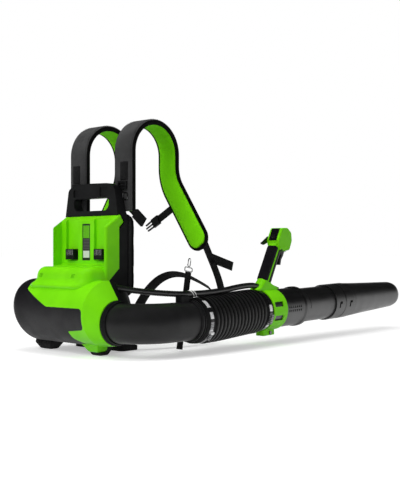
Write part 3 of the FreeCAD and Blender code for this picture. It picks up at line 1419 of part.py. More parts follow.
def strap_solid(side):
    """Padded shoulder strap: straight back, arch, and a front that splays outward."""
    inner = STRAP_OFFSET - s.strap_width / 2
    outer = STRAP_OFFSET + s.strap_width / 2
    r_out = s.strap_arch_radius
    r_in = r_out - s.strap_thickness
    y = s.strap_arch_y
    z = s.strap_arch_z
    low = s.strap_bottom_z
    curves = [
        Part.LineSegment(Vector(y - r_out, low, 0), Vector(y - r_out, z, 0)),
        Part.Arc(Vector(y - r_out, z, 0), Vector(y, z + r_out, 0), Vector(y + r_out, z, 0)),
        Part.LineSegment(Vector(y + r_out, z, 0), Vector(y + r_in, z, 0)),
        Part.Arc(Vector(y + r_in, z, 0), Vector(y, z + r_in, 0), Vector(y - r_in, z, 0)),
        Part.LineSegment(Vector(y - r_in, z, 0), Vector(y - r_in, low, 0)),
        Part.LineSegment(Vector(y - r_in, low, 0), Vector(y - r_out, low, 0)),
    ]
    face = Part.Face(Part.Wire([curve.toShape() for curve in curves]))
    face.Placement = Placement(Vector(inner, 0, 0), Rotation(Vector(0, 1, 0), Vector(0, 0, 1),
        Vector(1, 0, 0), "XYZ"))
    hook = face.extrude(Vector(s.strap_width, 0, 0))
    half = s.strap_width / 2
    end = Vector(STRAP_END_X, s.strap_end_z, 0)
    bend = Vector(STRAP_OFFSET, z - 72, 0)
    down = end - bend
    down.normalize()
    sideways = Vector(-down.y, down.x, 0)
    far_out = end + down * half + sideways * half
    far_in = end + down * half - sideways * half
    turn = math.tan(math.atan2(down.x, -down.y) / 2) * half
    front_outline = [
        (inner, z, 0), (outer, z, 0), (outer, bend.y + turn, 150), (far_out.x, far_out.y, half * 0.95),
        (far_in.x, far_in.y, half * 0.95), (inner, bend.y - turn, 110),
    ]
    front = flat_prism(front_outline, "XZ", y + r_in, y + r_out)
    strap = hook.fuse(front).removeSplitter()
    if side < 0:
        strap = strap.mirror(Vector(), Vector(1, 0, 0))
    return strap


def build_straps():
    keep("shoulder_strap_left", as_feature(strap_solid(-1)))
    keep("shoulder_strap_right", as_feature(strap_solid(1)))


def build_webbing():
    """Webbing below each strap, back to the foot of the back plate."""
    half = s.webbing_thickness / 2
    front = STRAP_OUTER_FRONT + s.soft_gap + half
    x = STRAP_END_X - 10
    low_x = STRAP_OFFSET - 14
    anchor_y = s.frame_front + s.soft_gap + half
    foot_run = [Vector(low_x + 46, 70, 15), Vector(low_x, 6, 40), Vector(low_x, anchor_y, 72),
                Vector(low_x, anchor_y, 112)]
    route = [
        Vector(x - 14, front, 378), Vector(x + 5, front + 1, 350), Vector(x - 17, 343, 120),
        Vector(x - 38, 252, 60), Vector(x - 45, 185, 20),
    ]
    right = ribbon(route + foot_run, [40, 90, 60, 50, 50, 24, 14], s.wide_webbing,
                   s.webbing_thickness)
    tail = oriented_box(Vector(x - 1, 292, 249), Vector(0.03, 1, -0.28), Vector(0, 0, 1), 100,
                        s.wide_webbing, s.webbing_thickness)
    keep("adjuster_webbing_right", as_feature(right.fuse(tail).removeSplitter()))
    route = [
        Vector(x, front, 350), Vector(x, front + 1, 305), Vector(x, 208, 270), Vector(x, 232, 200),
        Vector(x - 4, 225, 90), Vector(x - 22, 160, 18),
    ]
    left = ribbon(route + foot_run, [30, 30, 60, 90, 50, 45, 24, 14], s.wide_webbing,
                  s.webbing_thickness)
    keep("adjuster_webbing_left", as_feature(left.mirror(Vector(), Vector(1, 0, 0))))


def build_sternum():
    """Chest strap: webbing on each pad, and the two halves of its buckle."""
    y = STRAP_OUTER_FRONT + s.soft_gap + s.webbing_thickness / 2
    width = s.narrow_webbing
    right = plank((STRAP_OFFSET + 54, 438), (46, 380), width, s.webbing_thickness, y)
    left = plank((-STRAP_OFFSET - 24, 450), (-60, 402), width, s.webbing_thickness, y)
    keep("sternum_webbing", as_feature(Part.makeCompound([right, left])))
    male_from = (45.7, 379.8)
    body = plank(male_from, (20, 366), width + 4, 8, y)
    prongs = [plank((20.5, 366.3), (-8, 350.7), 4, 4, y)]
    for side in (-1, 1):
        across = (0.48 * side * 10.2, -0.877 * side * 10.2)
        prongs.append(plank((20.5 - across[0], 366.3 - across[1]),
                            (-5 - across[0] * 0.9, 352.4 - across[1] * 0.9), 4, 5, y))
    male = body
    for prong in prongs:
        male = male.fuse(prong)
    keep("sternum_buckle_male", as_feature(male.removeSplitter()))
    female = plank((-59.7, 401.8), (-21, 371), width + 7, 9, y)
    mouth = plank((-40, 385.9), (-18, 368.7), width + 2, 5.6, y)
    keep("sternum_buckle_female", as_feature(female.cut(mouth)))


def plank(start, end, width, thickness, y):
    """A flat bar in a plane of constant y between two (x, z) points."""
    run = Vector(end[0] - start[0], 0, end[1] - start[1])
    length = run.Length
    bar = Part.makeBox(length, thickness, width, Vector(0, -thickness / 2, -width / 2))
    bar.Placement = Placement(Vector(start[0], y, start[1]),
                              Rotation(Vector(0, 1, 0), -math.degrees(math.atan2(run.z, run.x))))
    return bar


def build_waist_belt():
    """Waist webbing from the lug on each side of the back plate."""
    across = Vector(22, 0, -17)
    across.normalize()
    x = s.frame_half_width + 5 + s.soft_gap + 0.5 * s.wide_webbing * across.x
    ends = [Vector(x, -18, 78), Vector(x, -6, 108), Vector(x, 19, 141), Vector(x, 51, 176),
            Vector(x, 100, 207), Vector(x, 159, 218),
            Vector(x, 236, 203), Vector(x, 315, 167)]
    right = ribbon(ends, [60, 90, 110, 140, 160, 200], s.wide_webbing, s.webbing_thickness, across)
    across = Vector(22, 0, 17)
    across.normalize()
    ends = [Vector(-x, -18, 78), Vector(-x, -4, 98), Vector(-x, 40, 116), Vector(-x, 110, 112),
            Vector(-x, 180, 70)]
    left = ribbon(ends, [60, 70, 110], s.wide_webbing, s.webbing_thickness, across)
    keep("waist_belt", as_feature(Part.makeCompound([right.cut(lug_room(1)), left.cut(lug_room(-1))])))


def lug_room(side):
    low, high = sorted((side * 60, side * (s.frame_half_width + 5.3)))
    return Part.makeBox(high - low, 80, 200, Vector(low, -60, 0))


def build_hook_strap():
    """Tube strap behind the elbow, with its ring, keeper and snap hook."""
    x = s.elbow_x - HOSE_CREST - s.soft_gap - s.webbing_thickness / 2
    low = Vector(x, 88, 5)
    high = Vector(x, 125, 223)
    run = high - low
    ahead = Vector(run)
    ahead.normalize()
    side = Vector(0, ahead.z, -ahead.y)
    strap = oriented_box((low + high) * 0.5, run, side, run.Length, s.hook_webbing, s.webbing_thickness)
    keep("hook_strap", as_feature(strap))
    wire = s.ring_wire
    ring_low = high + ahead * (wire + s.soft_gap)
    ring_high = ring_low + ahead * 11
    reach = s.hook_webbing / 2 + 3
    corners = [ring_low - side * reach, ring_low + side * reach, ring_high + side * reach,
               ring_high - side * reach]
    ring = bent_ring(corners, 3.2, wire)
    keep("strap_ring", as_feature(ring))
    base = ring_high + ahead * (2 * wire + 0.3)
    eye = [base - side * 3.5, base + side * 4.5, base + side * 5 + ahead * 17,
           base + side * 1 + ahead * 24, base - side * 4 + ahead * 21,
           base - side * 5 + ahead * 14]
    radii = [3.4, 6, 3.8, 3.8]
    hook_wire = path_wire(eye, radii)
    circle = Part.Circle(eye[0], eye[1] - eye[0], wire)
    hook = hook_wire.makePipeShell([Part.Wire(circle.toShape())], True, False)
    keep("snap_hook", as_feature(hook))
    gate_low = base - side * 5 + ahead * 3.2
    gate_high = base - side * 5 + ahead * 13.6
    gate = Part.makeCylinder(wire * 0.8, (gate_high - gate_low).Length, gate_low, ahead)
    eye = Part.makeCylinder(wire * 1.1, 2.4 * wire, gate_low - Vector(1.2 * wire, 0, 0),
                            Vector(1, 0, 0))
    keep("hook_gate", as_feature(gate.fuse(eye).removeSplitter()))


def bent_ring(corners, radius, wire):
    """A closed wire ring through four corners."""
    middle = (corners[0] + corners[1]) * 0.5
    points = [middle, corners[1], corners[2], corners[3], corners[0], middle]
    spine = path_wire(points, [radius] * 4)
    circle = Part.Circle(middle, corners[1] - corners[0], wire)
    return spine.makePipeShell([Part.Wire(circle.toShape())], True, False)


def build_strap_hardware():
    """Ladder locks and rings on the straps, and the keeper of the tube strap."""
    face = s.strap_arch_y - s.strap_arch_radius - s.soft_gap
    locks = []
    rings = []
    for side in (-1, 1):
        x = side * (STRAP_OFFSET + 2)
        lock = Part.makeBox(36, 6, 24, Vector(x - 18, face - 6, 457))
        lock = lock.cut(Part.makeBox(26, 10, 4.5, Vector(x - 13, face - 8, 462)))
        lock = lock.cut(Part.makeBox(26, 10, 4.5, Vector(x - 13, face - 8, 471)))
        locks.append(lock.makeFillet(1.5, [edge for edge in lock.Edges if edge.BoundBox.ZLength > 23]))
        centre = Vector(x + side * 10, face - s.ring_wire, 438)
        corners = [centre + Vector(-11, 0, -10), centre + Vector(11, 0, -10), centre + Vector(9, 0, 10),
                   centre + Vector(-9, 0, 10)]
        rings.append(bent_ring(corners, 6, s.ring_wire))
    keep("ladder_locks", as_feature(Part.makeCompound(locks)))
    keep("strap_rings", as_feature(Part.makeCompound(rings)))


def build_screws():
    """Pan-head screws that hold the back plate, below the cushion."""
    screws = []
    for x in (-96, 96):
        for z in (50, 132):
            head = Part.makeCylinder(4.5, 2.6, Vector(x, s.frame_front, z), Vector(0, 1, 0))
            screws.append(head.cut(Part.makeBox(7, 2, 1.2, Vector(x - 3.5, s.frame_front + 1.6,
                z - 0.6))))
    keep("frame_screws", as_feature(Part.makeCompound(screws)))


build_back_frame()
build_carry_handle()
build_front_foot()
build_rear_feet()
build_back_pad()
build_rear_housing()
build_belt_cover()
build_front_housing()
build_intake()
build_duct()
build_fan()
build_motor()
build_stator()
build_controller()
build_terminals()
build_outlet_and_elbow()
build_hose()
build_tubes()
build_handle()
build_conduit()
build_straps()
build_webbing()
build_sternum()
build_waist_belt()
build_hook_strap()
build_strap_hardware()
build_screws()
doc.recompute()

# Every object and every sub-part is sound before anything is written
for item in doc.Objects:
    if "Invalid" in item.State or "Error" in item.State:
        raise SystemExit(f"{item.Name} ({item.Label}) failed: {item.State}")
for part in SUB_PARTS:
    if part.Shape.isNull() or not part.Shape.isValid():
        raise SystemExit(f"{part.Label} has no valid shape")
os.makedirs("parts", exist_ok=True)
for part in SUB_PARTS:
    part.Shape.exportStep(f"parts/{part.Label}.step")
    print(f"{part.Label}: {len(part.Shape.Solids)} solids, {part.Shape.Volume / 1000:.1f} cm3")
print(len(SUB_PARTS), "sub-parts")
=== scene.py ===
from itertools import accumulate
from math import atan, atan2, cos, exp, pi, radians, sin, sqrt, tan

import bmesh
import bpy
from mathutils import Matrix, Vector, noise


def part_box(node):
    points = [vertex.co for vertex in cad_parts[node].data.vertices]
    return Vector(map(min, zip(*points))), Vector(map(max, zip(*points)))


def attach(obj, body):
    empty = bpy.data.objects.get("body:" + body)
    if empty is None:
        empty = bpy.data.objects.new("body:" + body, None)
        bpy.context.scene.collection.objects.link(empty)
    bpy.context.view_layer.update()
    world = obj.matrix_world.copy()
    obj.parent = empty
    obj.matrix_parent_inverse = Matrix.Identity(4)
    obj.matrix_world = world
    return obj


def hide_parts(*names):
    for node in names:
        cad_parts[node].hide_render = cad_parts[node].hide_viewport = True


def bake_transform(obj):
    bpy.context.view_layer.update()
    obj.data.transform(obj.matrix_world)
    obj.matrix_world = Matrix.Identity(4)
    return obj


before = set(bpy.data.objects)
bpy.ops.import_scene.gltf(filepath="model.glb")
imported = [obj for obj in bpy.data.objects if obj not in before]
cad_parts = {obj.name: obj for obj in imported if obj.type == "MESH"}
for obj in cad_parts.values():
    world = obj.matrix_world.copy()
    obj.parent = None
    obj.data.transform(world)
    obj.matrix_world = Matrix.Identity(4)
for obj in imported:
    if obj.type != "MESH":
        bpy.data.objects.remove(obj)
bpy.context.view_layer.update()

# Places and sizes in metres, the same as in the part's source
ELBOW_X = 0.285
DUCT_Y = -0.122
DUCT_Z = 0.091
HOSE_ROOT = 0.0610
HOSE_CREST = 0.0660
HOSE_WALL = 0.0018
RIB_PITCH = 0.01515
OUTER_RIBS = 7
MIDDLE_RIBS = 1
RIB_START = 0.1000
RIBS_MID_START = 0.20605
RIBS_FRONT_START = 0.22120
RIB_END = 0.32725
REAR_CUFF_START = 0.0620
FRONT_CUFF_END = 0.35926
REAR_BORE = 0.0573
FRONT_BORE = 0.0558
CUFF_WALL = 0.0052
WAND_TILT = radians(1.4)
WAND_RISE = 0.0010
FRONT_CLAMP_Z = 0.1030
STEM_FOOT_Y = 0.37876
STEM_FOOT_Z = 0.150
STEM_LEAN = radians(29.6)
STRAP_OFFSET = 0.098
STRAP_WIDTH = 0.076
STRAP_THICKNESS = 0.019
STRAP_LOW = 0.396
STRAP_ARCH_Y = 0.0796
STRAP_ARCH_Z = 0.566
STRAP_ARCH_RADIUS = 0.0985
STRAP_STRAIGHT = 0.072
STRAP_BEND_RADIUS = 0.130
STRAP_END_X = 0.213
STRAP_END_Z = 0.324
PLATE_FRONT = -0.012
PAD_HALF_WIDTH = 0.130
PAD_LOW = 0.150
PAD_HIGH = 0.392
PAD_THICKNESS = 0.0177
LUG_X = 0.118 + 0.005
WEB = 0.0018
WIDE_WEB = 0.028
NARROW_WEB = 0.024
HOOK_WEB = 0.025
CONDUIT_RADIUS = 0.0085
CLEAR = 0.0003
CHEST_Y = STRAP_ARCH_Y + STRAP_ARCH_RADIUS + CLEAR + WEB / 2
SIDEWAYS = Vector((1, 0, 0))
FORWARD = Vector((0, 1, 0))


def wand_point(x, y, z):
    """A point of the tube line, modelled level, in its tilted place."""
    tilt = Matrix.Rotation(WAND_TILT, 4, "X")
    pivot = Vector((0, DUCT_Y, DUCT_Z))
    return tilt @ (Vector((x, y, z)) - pivot) + pivot + Vector((0, 0, WAND_RISE))


# Camera at the photograph's viewing angle, its lens and sensor in millimetres
camera_data = bpy.data.cameras.new("camera")
camera_data.lens = 59.98
camera_data.sensor_width = 36.0
camera = bpy.data.objects.new("camera", camera_data)
camera.location = (1.8363, -1.6226, 0.286)
camera.rotation_euler = (radians(90), 0, radians(42))
bpy.context.scene.collection.objects.link(camera)
bpy.context.scene.camera = camera


# Materials
class Nodes:
    """A node tree being built. Its sums take numbers and other nodes' outputs alike."""

    def __init__(self, tree):
        self.tree = tree

    def feed(self, socket, value):
        """Sets an input to a number, a vector or a colour, or links an output to it."""
        if isinstance(value, tuple) and socket.type == "RGBA":
            socket.default_value = (*value, 1)
        elif isinstance(value, (int, float, tuple)):
            socket.default_value = value
        else:
            self.tree.links.new(value, socket)

    def node(self, kind, inputs, **settings):
        made = self.tree.nodes.new("ShaderNode" + kind)
        for key, value in settings.items():
            setattr(made, key, value)
        for socket, value in inputs.items():
            self.feed(made.inputs[socket], value)
        return made

    def maths(self, operation, first, second=0):
        return self.node("Math", {0: first, 1: second}, operation=operation).outputs[0]

    def times(self, first, second):
        return self.maths("MULTIPLY", first, second)

    def wave(self, value, pitch):
        """A sine wave over a distance, one turn in each pitch."""
        return self.maths("SINE", self.times(value, 2 * pi / pitch))

    def dot(self, first, second):
        inputs = {0: first, 1: second}
        return self.node("VectorMath", inputs, operation="DOT_PRODUCT").outputs["Value"]

    def split(self, vector):
        """The three parts of a vector."""
        return self.node("SeparateXYZ", {0: vector}).outputs[:]

    def remap(self, value, low, high, to_low=0.0, to_high=1.0):
        return self.node("MapRange", {
            "Value": value, "From Min": low, "From Max": high,
            "To Min": to_low, "To Max": to_high}).outputs["Result"]

    def between(self, value, low, high, edge):
        """1 where a value lies between two limits, falling to 0 outside them."""
        rising = self.remap(value, low - edge, low + edge)
        falling = self.remap(value, high - edge, high + edge, 1.0, 0.0)
        return self.times(rising, falling)

    def blend(self, share, first, second):
        """A colour between two, each a colour or another node's output."""
        inputs = {"Factor": share, 6: first, 7: second}
        return self.node("Mix", inputs, data_type="RGBA").outputs[2]


class Surface(Nodes):
    """A material being built, with its shader and where a point lies on the object."""

    def __init__(self, name, **sockets):
        self.material = bpy.data.materials.new(name)
        self.material.use_nodes = True
        super().__init__(self.material.node_tree)
        self.shader = self.tree.nodes["Principled BSDF"]
        for socket, value in sockets.items():
            self.feed(self.shader.inputs[socket.replace("_", " ")], value)
        self.place = self.node("TexCoord", {}).outputs["Object"]
        self.normal = None

    def cloth_place(self):
        """How far a point lies across and along unwrapped cloth, in metres."""
        return self.split(self.node("UVMap", {}).outputs["UV"])[:2]

    def noise(self, scale, detail, stretch=None):
        """Noise from 0 to 1, its scale in features per metre, drawn out by stretch."""
        place = self.place
        if stretch:
            place = self.node("Mapping", {"Vector": place, "Scale": stretch}).outputs["Vector"]
        inputs = {"Vector": place, "Scale": scale, "Detail": detail}
        return self.node("TexNoise", inputs).outputs["Fac"]

    def patches(self, scale, detail, low, high, to_low=0.0, to_high=1.0, stretch=None):
        """Noise that is flat below one level and above another."""
        return self.remap(self.noise(scale, detail, stretch), low, high, to_low, to_high)

    def bump(self, height, distance, strength):
        inputs = {"Height": height, "Distance": distance, "Strength": strength}
        if self.normal is not None:
            inputs["Normal"] = self.normal
        self.turn_normal(self.node("Bump", inputs))

    def turn_normal(self, made):
        self.normal = made.outputs["Normal"]
        self.feed(self.shader.inputs["Normal"], self.normal)

    def soft_edges(self, radius):
        """Rounds hard edges in shading and returns how close a point is to one."""
        self.turn_normal(self.node("Bevel", {"Radius": radius}, samples=4))
        flat = self.node("NewGeometry", {}).outputs["Normal"]
        return self.remap(self.dot(self.normal, flat), 0.995, 0.86)

    def colour(self, output):
        self.feed(self.shader.inputs["Base Color"], output)

    def roughness(self, output):
        self.feed(self.shader.inputs["Roughness"], output)


def moulded_plastic(name, deep, light, worn, rough, grain, shine=0.22):
    """Injection-moulded plastic: faint cloudiness, a spark-eroded grain, and edges lightened in
    patches, partly rubbed wear and partly a painted highlight.
    """
    made = Surface(name, Specular_IOR_Level=shine)
    near_edge = made.soft_edges(0.0008)
    base = made.blend(made.patches(14.0, 4.0, 0.35, 0.7), deep, light)
    # Edges lightened in patches: rubbed wear and a painted edge highlight
    edge_wear_and_highlight = made.times(near_edge, made.patches(120.0, 4.0, 0.45, 0.7, 0.0, 0.7))
    made.colour(made.blend(edge_wear_and_highlight, base, worn))
    smudges = made.patches(26.0, 5.0, 0.35, 0.7, rough - 0.07, rough + 0.07)
    made.roughness(made.maths("ADD", smudges, made.patches(900.0, 2.0, 0.4, 0.6, -0.02, 0.03)))
    scale, depth = grain
    made.bump(made.noise(scale, 2.0), depth, 0.6)
    return made.material


def blown_plastic(name, deep, light, rough):
    """Smooth blow-moulded tube: streaks along its length, fine scratches, slight waviness and a
    painted highlight along its edges.
    """
    made = Surface(name, Specular_IOR_Level=1.0)
    near_edge = made.soft_edges(0.0007)
    base = made.blend(made.patches(60.0, 4.0, 0.35, 0.7, stretch=(1.0, 0.08, 1.0)), deep, light)
    scratches = made.patches(700.0, 3.0, 0.66, 0.74, stretch=(1.0, 0.05, 1.0))
    wear = made.times(scratches, made.patches(22.0, 3.0, 0.5, 0.68, 0.0, 0.5))
    worn = made.blend(wear, base, (0.075, 0.075, 0.078))
    # Painted highlight: every edge lightened halfway towards grey
    made.colour(made.blend(made.times(near_edge, 0.5), worn, (0.09, 0.09, 0.092)))
    made.roughness(made.patches(18.0, 5.0, 0.3, 0.7, rough - 0.06, rough + 0.08))
    made.bump(made.noise(30.0, 2.0, (1.0, 0.3, 1.0)), 0.0006, 0.35)
    made.bump(made.noise(1400.0, 2.0), 0.00006, 0.5)
    return made.material


def rubber(name, deep, light, rough):
    """Soft rubber with a dull bloom."""
    made = Surface(name, Specular_IOR_Level=0.2)
    made.soft_edges(0.001)
    made.colour(made.blend(made.patches(45.0, 5.0, 0.4, 0.72), deep, light))
    made.roughness(made.patches(60.0, 4.0, 0.3, 0.7, rough - 0.06, rough + 0.08))
    made.bump(made.noise(1800.0, 2.0), 0.0001, 0.5)
    return made.material


def metal(name, deep, light, rough, grain=(1.0, 1.0, 1.0)):
    """Bare metal with brushed or rolled grain, tarnish and small scratches."""
    made = Surface(name, Metallic=1.0)
    made.soft_edges(0.0004)
    made.colour(made.blend(made.patches(80.0, 5.0, 0.4, 0.7), light, deep))
    made.roughness(made.patches(500.0, 4.0, 0.3, 0.7, rough - 0.08, rough + 0.1, grain))
    made.bump(made.noise(1600.0, 3.0, grain), 0.00005, 0.5)
    return made.material


def darker(colour, share):
    return tuple(share * part for part in colour)


def cloth(name, deep, light, pitch, depth, fuzz, unwrapped=True):
    """Woven fabric: threads, slubs, sun-faded patches and a soft sheen."""
    made = Surface(name, Sheen_Weight=fuzz, Sheen_Roughness=0.5, Specular_IOR_Level=0.12)
    across, along = made.cloth_place() if unwrapped else made.split(made.place)[::2]
    threads = made.times(made.wave(across, pitch), made.wave(along, pitch))
    base = made.blend(made.patches(20.0, 5.0, 0.32, 0.72), deep, light)
    shaded = made.blend(made.remap(threads, -1.0, 1.0, 0.55, 0.0), base, darker(deep, 0.45))
    slub = made.times(made.patches(420.0, 3.0, 0.35, 0.7, 0.0, 0.6), 0.5)
    made.colour(made.blend(slub, shaded, tuple(min(1.0, 1.35 * part) for part in light)))
    made.roughness(made.patches(70.0, 4.0, 0.3, 0.7, 0.72, 0.92))
    made.bump(threads, depth, 0.7)
    made.bump(made.noise(260.0, 4.0), depth * 1.6, 0.25)
    return made.material


def webbing_cloth(name, deep, light):
    """Flat polyester webbing: herringbone ribs along it and tighter edges."""
    made = Surface(name, Sheen_Weight=0.03, Sheen_Roughness=0.45, Specular_IOR_Level=0.12)
    across, along = made.cloth_place()
    chevron = made.times(made.maths("ABSOLUTE", made.wave(across, 0.007)), 0.0012)
    ribs = made.wave(made.maths("ADD", along, chevron), 0.0018)
    threads = made.times(ribs, made.wave(across, 0.0016))
    base = made.blend(made.patches(24.0, 5.0, 0.35, 0.7), deep, light)
    # Painted shade: the dips between the threads darkened
    made.colour(made.blend(made.remap(threads, -1.0, 1.0, 0.5, 0.0), base, darker(deep, 0.4)))
    made.roughness(made.patches(90.0, 3.0, 0.3, 0.7, 0.62, 0.84))
    made.bump(threads, 0.00022, 0.8)
    return made.material


GREEN_DEEP = (0.170, 0.680, 0.002)
GREEN_LIGHT = (0.205, 0.760, 0.004)
# Lighter green for the edges: rubbed wear and a painted edge highlight
GREEN_EDGE_WEAR_AND_HIGHLIGHT = (0.30, 0.80, 0.06)
BLACK_DEEP = (0.0042, 0.0043, 0.0047)
BLACK_LIGHT = (0.0085, 0.0087, 0.0092)

green_plastic = moulded_plastic(
    "green_plastic", GREEN_DEEP, GREEN_LIGHT, GREEN_EDGE_WEAR_AND_HIGHLIGHT, 0.38, (1500.0, 0.00006), 0.16)
black_plastic = moulded_plastic(
    "black_plastic", BLACK_DEEP, BLACK_LIGHT, (0.04, 0.04, 0.042), 0.50, (1300.0, 0.00016), 0.12)
panel_plastic = moulded_plastic(
    "panel_plastic", (0.0085, 0.0080, 0.0095), (0.0135, 0.0130, 0.0145), (0.05, 0.05, 0.05),
    0.52, (1000.0, 0.0002))
duct_plastic = moulded_plastic(
    "duct_plastic", (0.035, 0.036, 0.038), (0.050, 0.051, 0.053), (0.10, 0.10, 0.10),
    0.55, (1200.0, 0.0001))
elbow_plastic = moulded_plastic(
    "elbow_plastic", (0.0085, 0.0085, 0.0088), (0.0140, 0.0140, 0.0145), (0.04, 0.04, 0.04),
    0.42, (1600.0, 0.00008), 0.24)
button_plastic = moulded_plastic(
    "button_plastic", (0.008, 0.008, 0.0085), (0.014, 0.014, 0.015), (0.05, 0.05, 0.05),
    0.36, (1600.0, 0.00008), 0.4)
tie_plastic = moulded_plastic(
    "tie_plastic", (0.74, 0.74, 0.72), (0.84, 0.84, 0.82), (0.9, 0.9, 0.88),
    0.35, (900.0, 0.00004), 0.5)
tube_plastic = blown_plastic(
    "tube_plastic", (0.0040, 0.0040, 0.0042), (0.0080, 0.0080, 0.0084), 0.34)
conduit_plastic = blown_plastic(
    "conduit_plastic", (0.0035, 0.0035, 0.0037), (0.0070, 0.0070, 0.0074), 0.36)
sole_rubber = rubber("sole_rubber", (0.006, 0.006, 0.006), (0.014, 0.014, 0.014), 0.78)
bright_steel = metal(
    "bright_steel", (0.40, 0.40, 0.41), (0.74, 0.74, 0.75), 0.24, (1.0, 1.0, 6.0))
dark_steel = metal("dark_steel", (0.05, 0.05, 0.053), (0.16, 0.16, 0.165), 0.30)
dull_steel = metal("dull_steel", (0.20, 0.20, 0.21), (0.36, 0.36, 0.37), 0.38)
cast_aluminium = metal("cast_aluminium", (0.45, 0.45, 0.46), (0.62, 0.62, 0.63), 0.42)
strap_cloth = cloth(
    "strap_cloth", (0.027, 0.027, 0.0275), (0.060, 0.060, 0.061), 0.0026, 0.00028, 0.1)
lining_cloth = cloth(
    "lining_cloth", (0.185, 0.780, 0.003), (0.235, 0.900, 0.005), 0.0022, 0.00016, 0.02)
binding_cloth = cloth(
    "binding_cloth", (0.0010, 0.0010, 0.0010), (0.0028, 0.0028, 0.0028), 0.0016, 0.00014, 0.0)
patch_cloth = cloth(
    "patch_cloth", (0.004, 0.004, 0.0042), (0.009, 0.009, 0.0095), 0.0011, 0.0003, 0.05)
pad_cloth = cloth(
    "pad_cloth", (0.009, 0.009, 0.0095), (0.019, 0.019, 0.0195), 0.0030, 0.0003, 0.25,
    unwrapped=False)
web_cloth = webbing_cloth("web_cloth", (0.0075, 0.0075, 0.0079), (0.0150, 0.0150, 0.0155))
stitch_thread = cloth(
    "stitch_thread", (0.030, 0.030, 0.031), (0.055, 0.055, 0.057), 0.0006, 0.00008, 0.05)


def along_stem(made):
    """How far a point lies up the leaning handle, and how far ahead of its axis, in metres."""
    foot = wand_point(ELBOW_X, STEM_FOOT_Y, STEM_FOOT_Z)
    sine, cosine = sin(STEM_LEAN - WAND_TILT), cos(STEM_LEAN - WAND_TILT)
    _, y, z = made.split(made.place)
    forward = made.maths("SUBTRACT", y, foot.y)
    upward = made.maths("SUBTRACT", z, foot.z)
    along = made.maths("ADD", made.times(forward, sine), made.times(upward, cosine))
    ahead = made.maths("SUBTRACT", made.times(forward, cosine), made.times(upward, sine))
    return along, ahead


def two_shot(name, stripe):
    """The handle's green shell with a painted shadow, near black, across its front, or its
    rubber with the green seam.
    """
    made = Surface(name, Specular_IOR_Level=0.16)
    near_edge = made.soft_edges(0.0008)
    along, ahead = along_stem(made)
    cloud = made.patches(14.0, 4.0, 0.35, 0.7)
    green = made.blend(cloud, GREEN_DEEP, GREEN_LIGHT)
    black = made.blend(cloud, (0.0050, 0.0045, 0.0062), (0.0110, 0.0100, 0.0130))
    if stripe:
        made.colour(made.blend(made.between(ahead, -0.0065, -0.0005, 0.0007), black, green))
        made.roughness(made.patches(60.0, 4.0, 0.3, 0.7, 0.54, 0.68))
        inputs = {"Vector": made.place, "Scale": 430.0, "Randomness": 0.0}
        dots = made.node("TexVoronoi", inputs, feature="F1")
        made.bump(made.remap(dots.outputs["Distance"], 0.28, 0.42, 1.0, 0.0), 0.0005, 0.8)
    else:
        # Painted shadow: the shell's front face, turned away from the lamps, coloured near black
        front = made.times(made.between(ahead, 0.0035, 0.2, 0.0005),
                           made.between(along, 0.034, 0.146, 0.002))
        # Edges lightened in patches: rubbed wear and a painted edge highlight
        edge_wear_and_highlight = made.times(near_edge, made.patches(120.0, 4.0, 0.45, 0.7, 0.0, 0.6))
        made.colour(made.blend(edge_wear_and_highlight, made.blend(front, green, black), GREEN_EDGE_WEAR_AND_HIGHLIGHT))
        made.roughness(made.patches(26.0, 5.0, 0.35, 0.7, 0.31, 0.45))
        made.bump(made.noise(1500.0, 2.0), 0.00006, 0.6)
    return made.material


def band_steel(name, height, dark_reflection_spans, slot_and_reflection_spans):
    """Clamp band: bright rolled steel, slotted where the screw bites. Over some spans of its
    turn a painted dark reflection is laid on, and over others the slots sit on a painted greyer
    reflection tone. The dark and the grey spans are given in degrees of that turn."""
    made = Surface(name, Metallic=0.35)
    made.soft_edges(0.0003)
    x, _, z = made.split(made.place)
    sideways = made.maths("SUBTRACT", x, ELBOW_X)
    upward = made.maths("SUBTRACT", z, height)
    turn = made.times(made.maths("ARCTAN2", upward, sideways), 180 / pi)
    tarnish = made.patches(90.0, 5.0, 0.4, 0.7)
    colour = made.blend(tarnish, (0.93, 0.93, 0.94), (0.72, 0.72, 0.73))
    fine = made.maths("FRACT", made.times(made.maths("ADD", turn, 400.0), 0.22))
    slots = made.remap(fine, 0.40, 0.55)
    # Painted reflection: a greyer steel tone, darker in the slots, over the grey spans, and near
    # black over the dark spans
    slots_on_reflection_grey = made.blend(slots, (0.34, 0.34, 0.35), (0.10, 0.10, 0.105))
    for spans, finish in ((slot_and_reflection_spans, slots_on_reflection_grey), (dark_reflection_spans, (0.012, 0.012, 0.013))):
        for low, high in spans:
            colour = made.blend(made.between(turn, low, high, 0.8), colour, finish)
    made.colour(colour)
    made.roughness(made.patches(500.0, 4.0, 0.3, 0.7, 0.18, 0.36))
    made.bump(slots, 0.0002, 0.4)
    return made.material


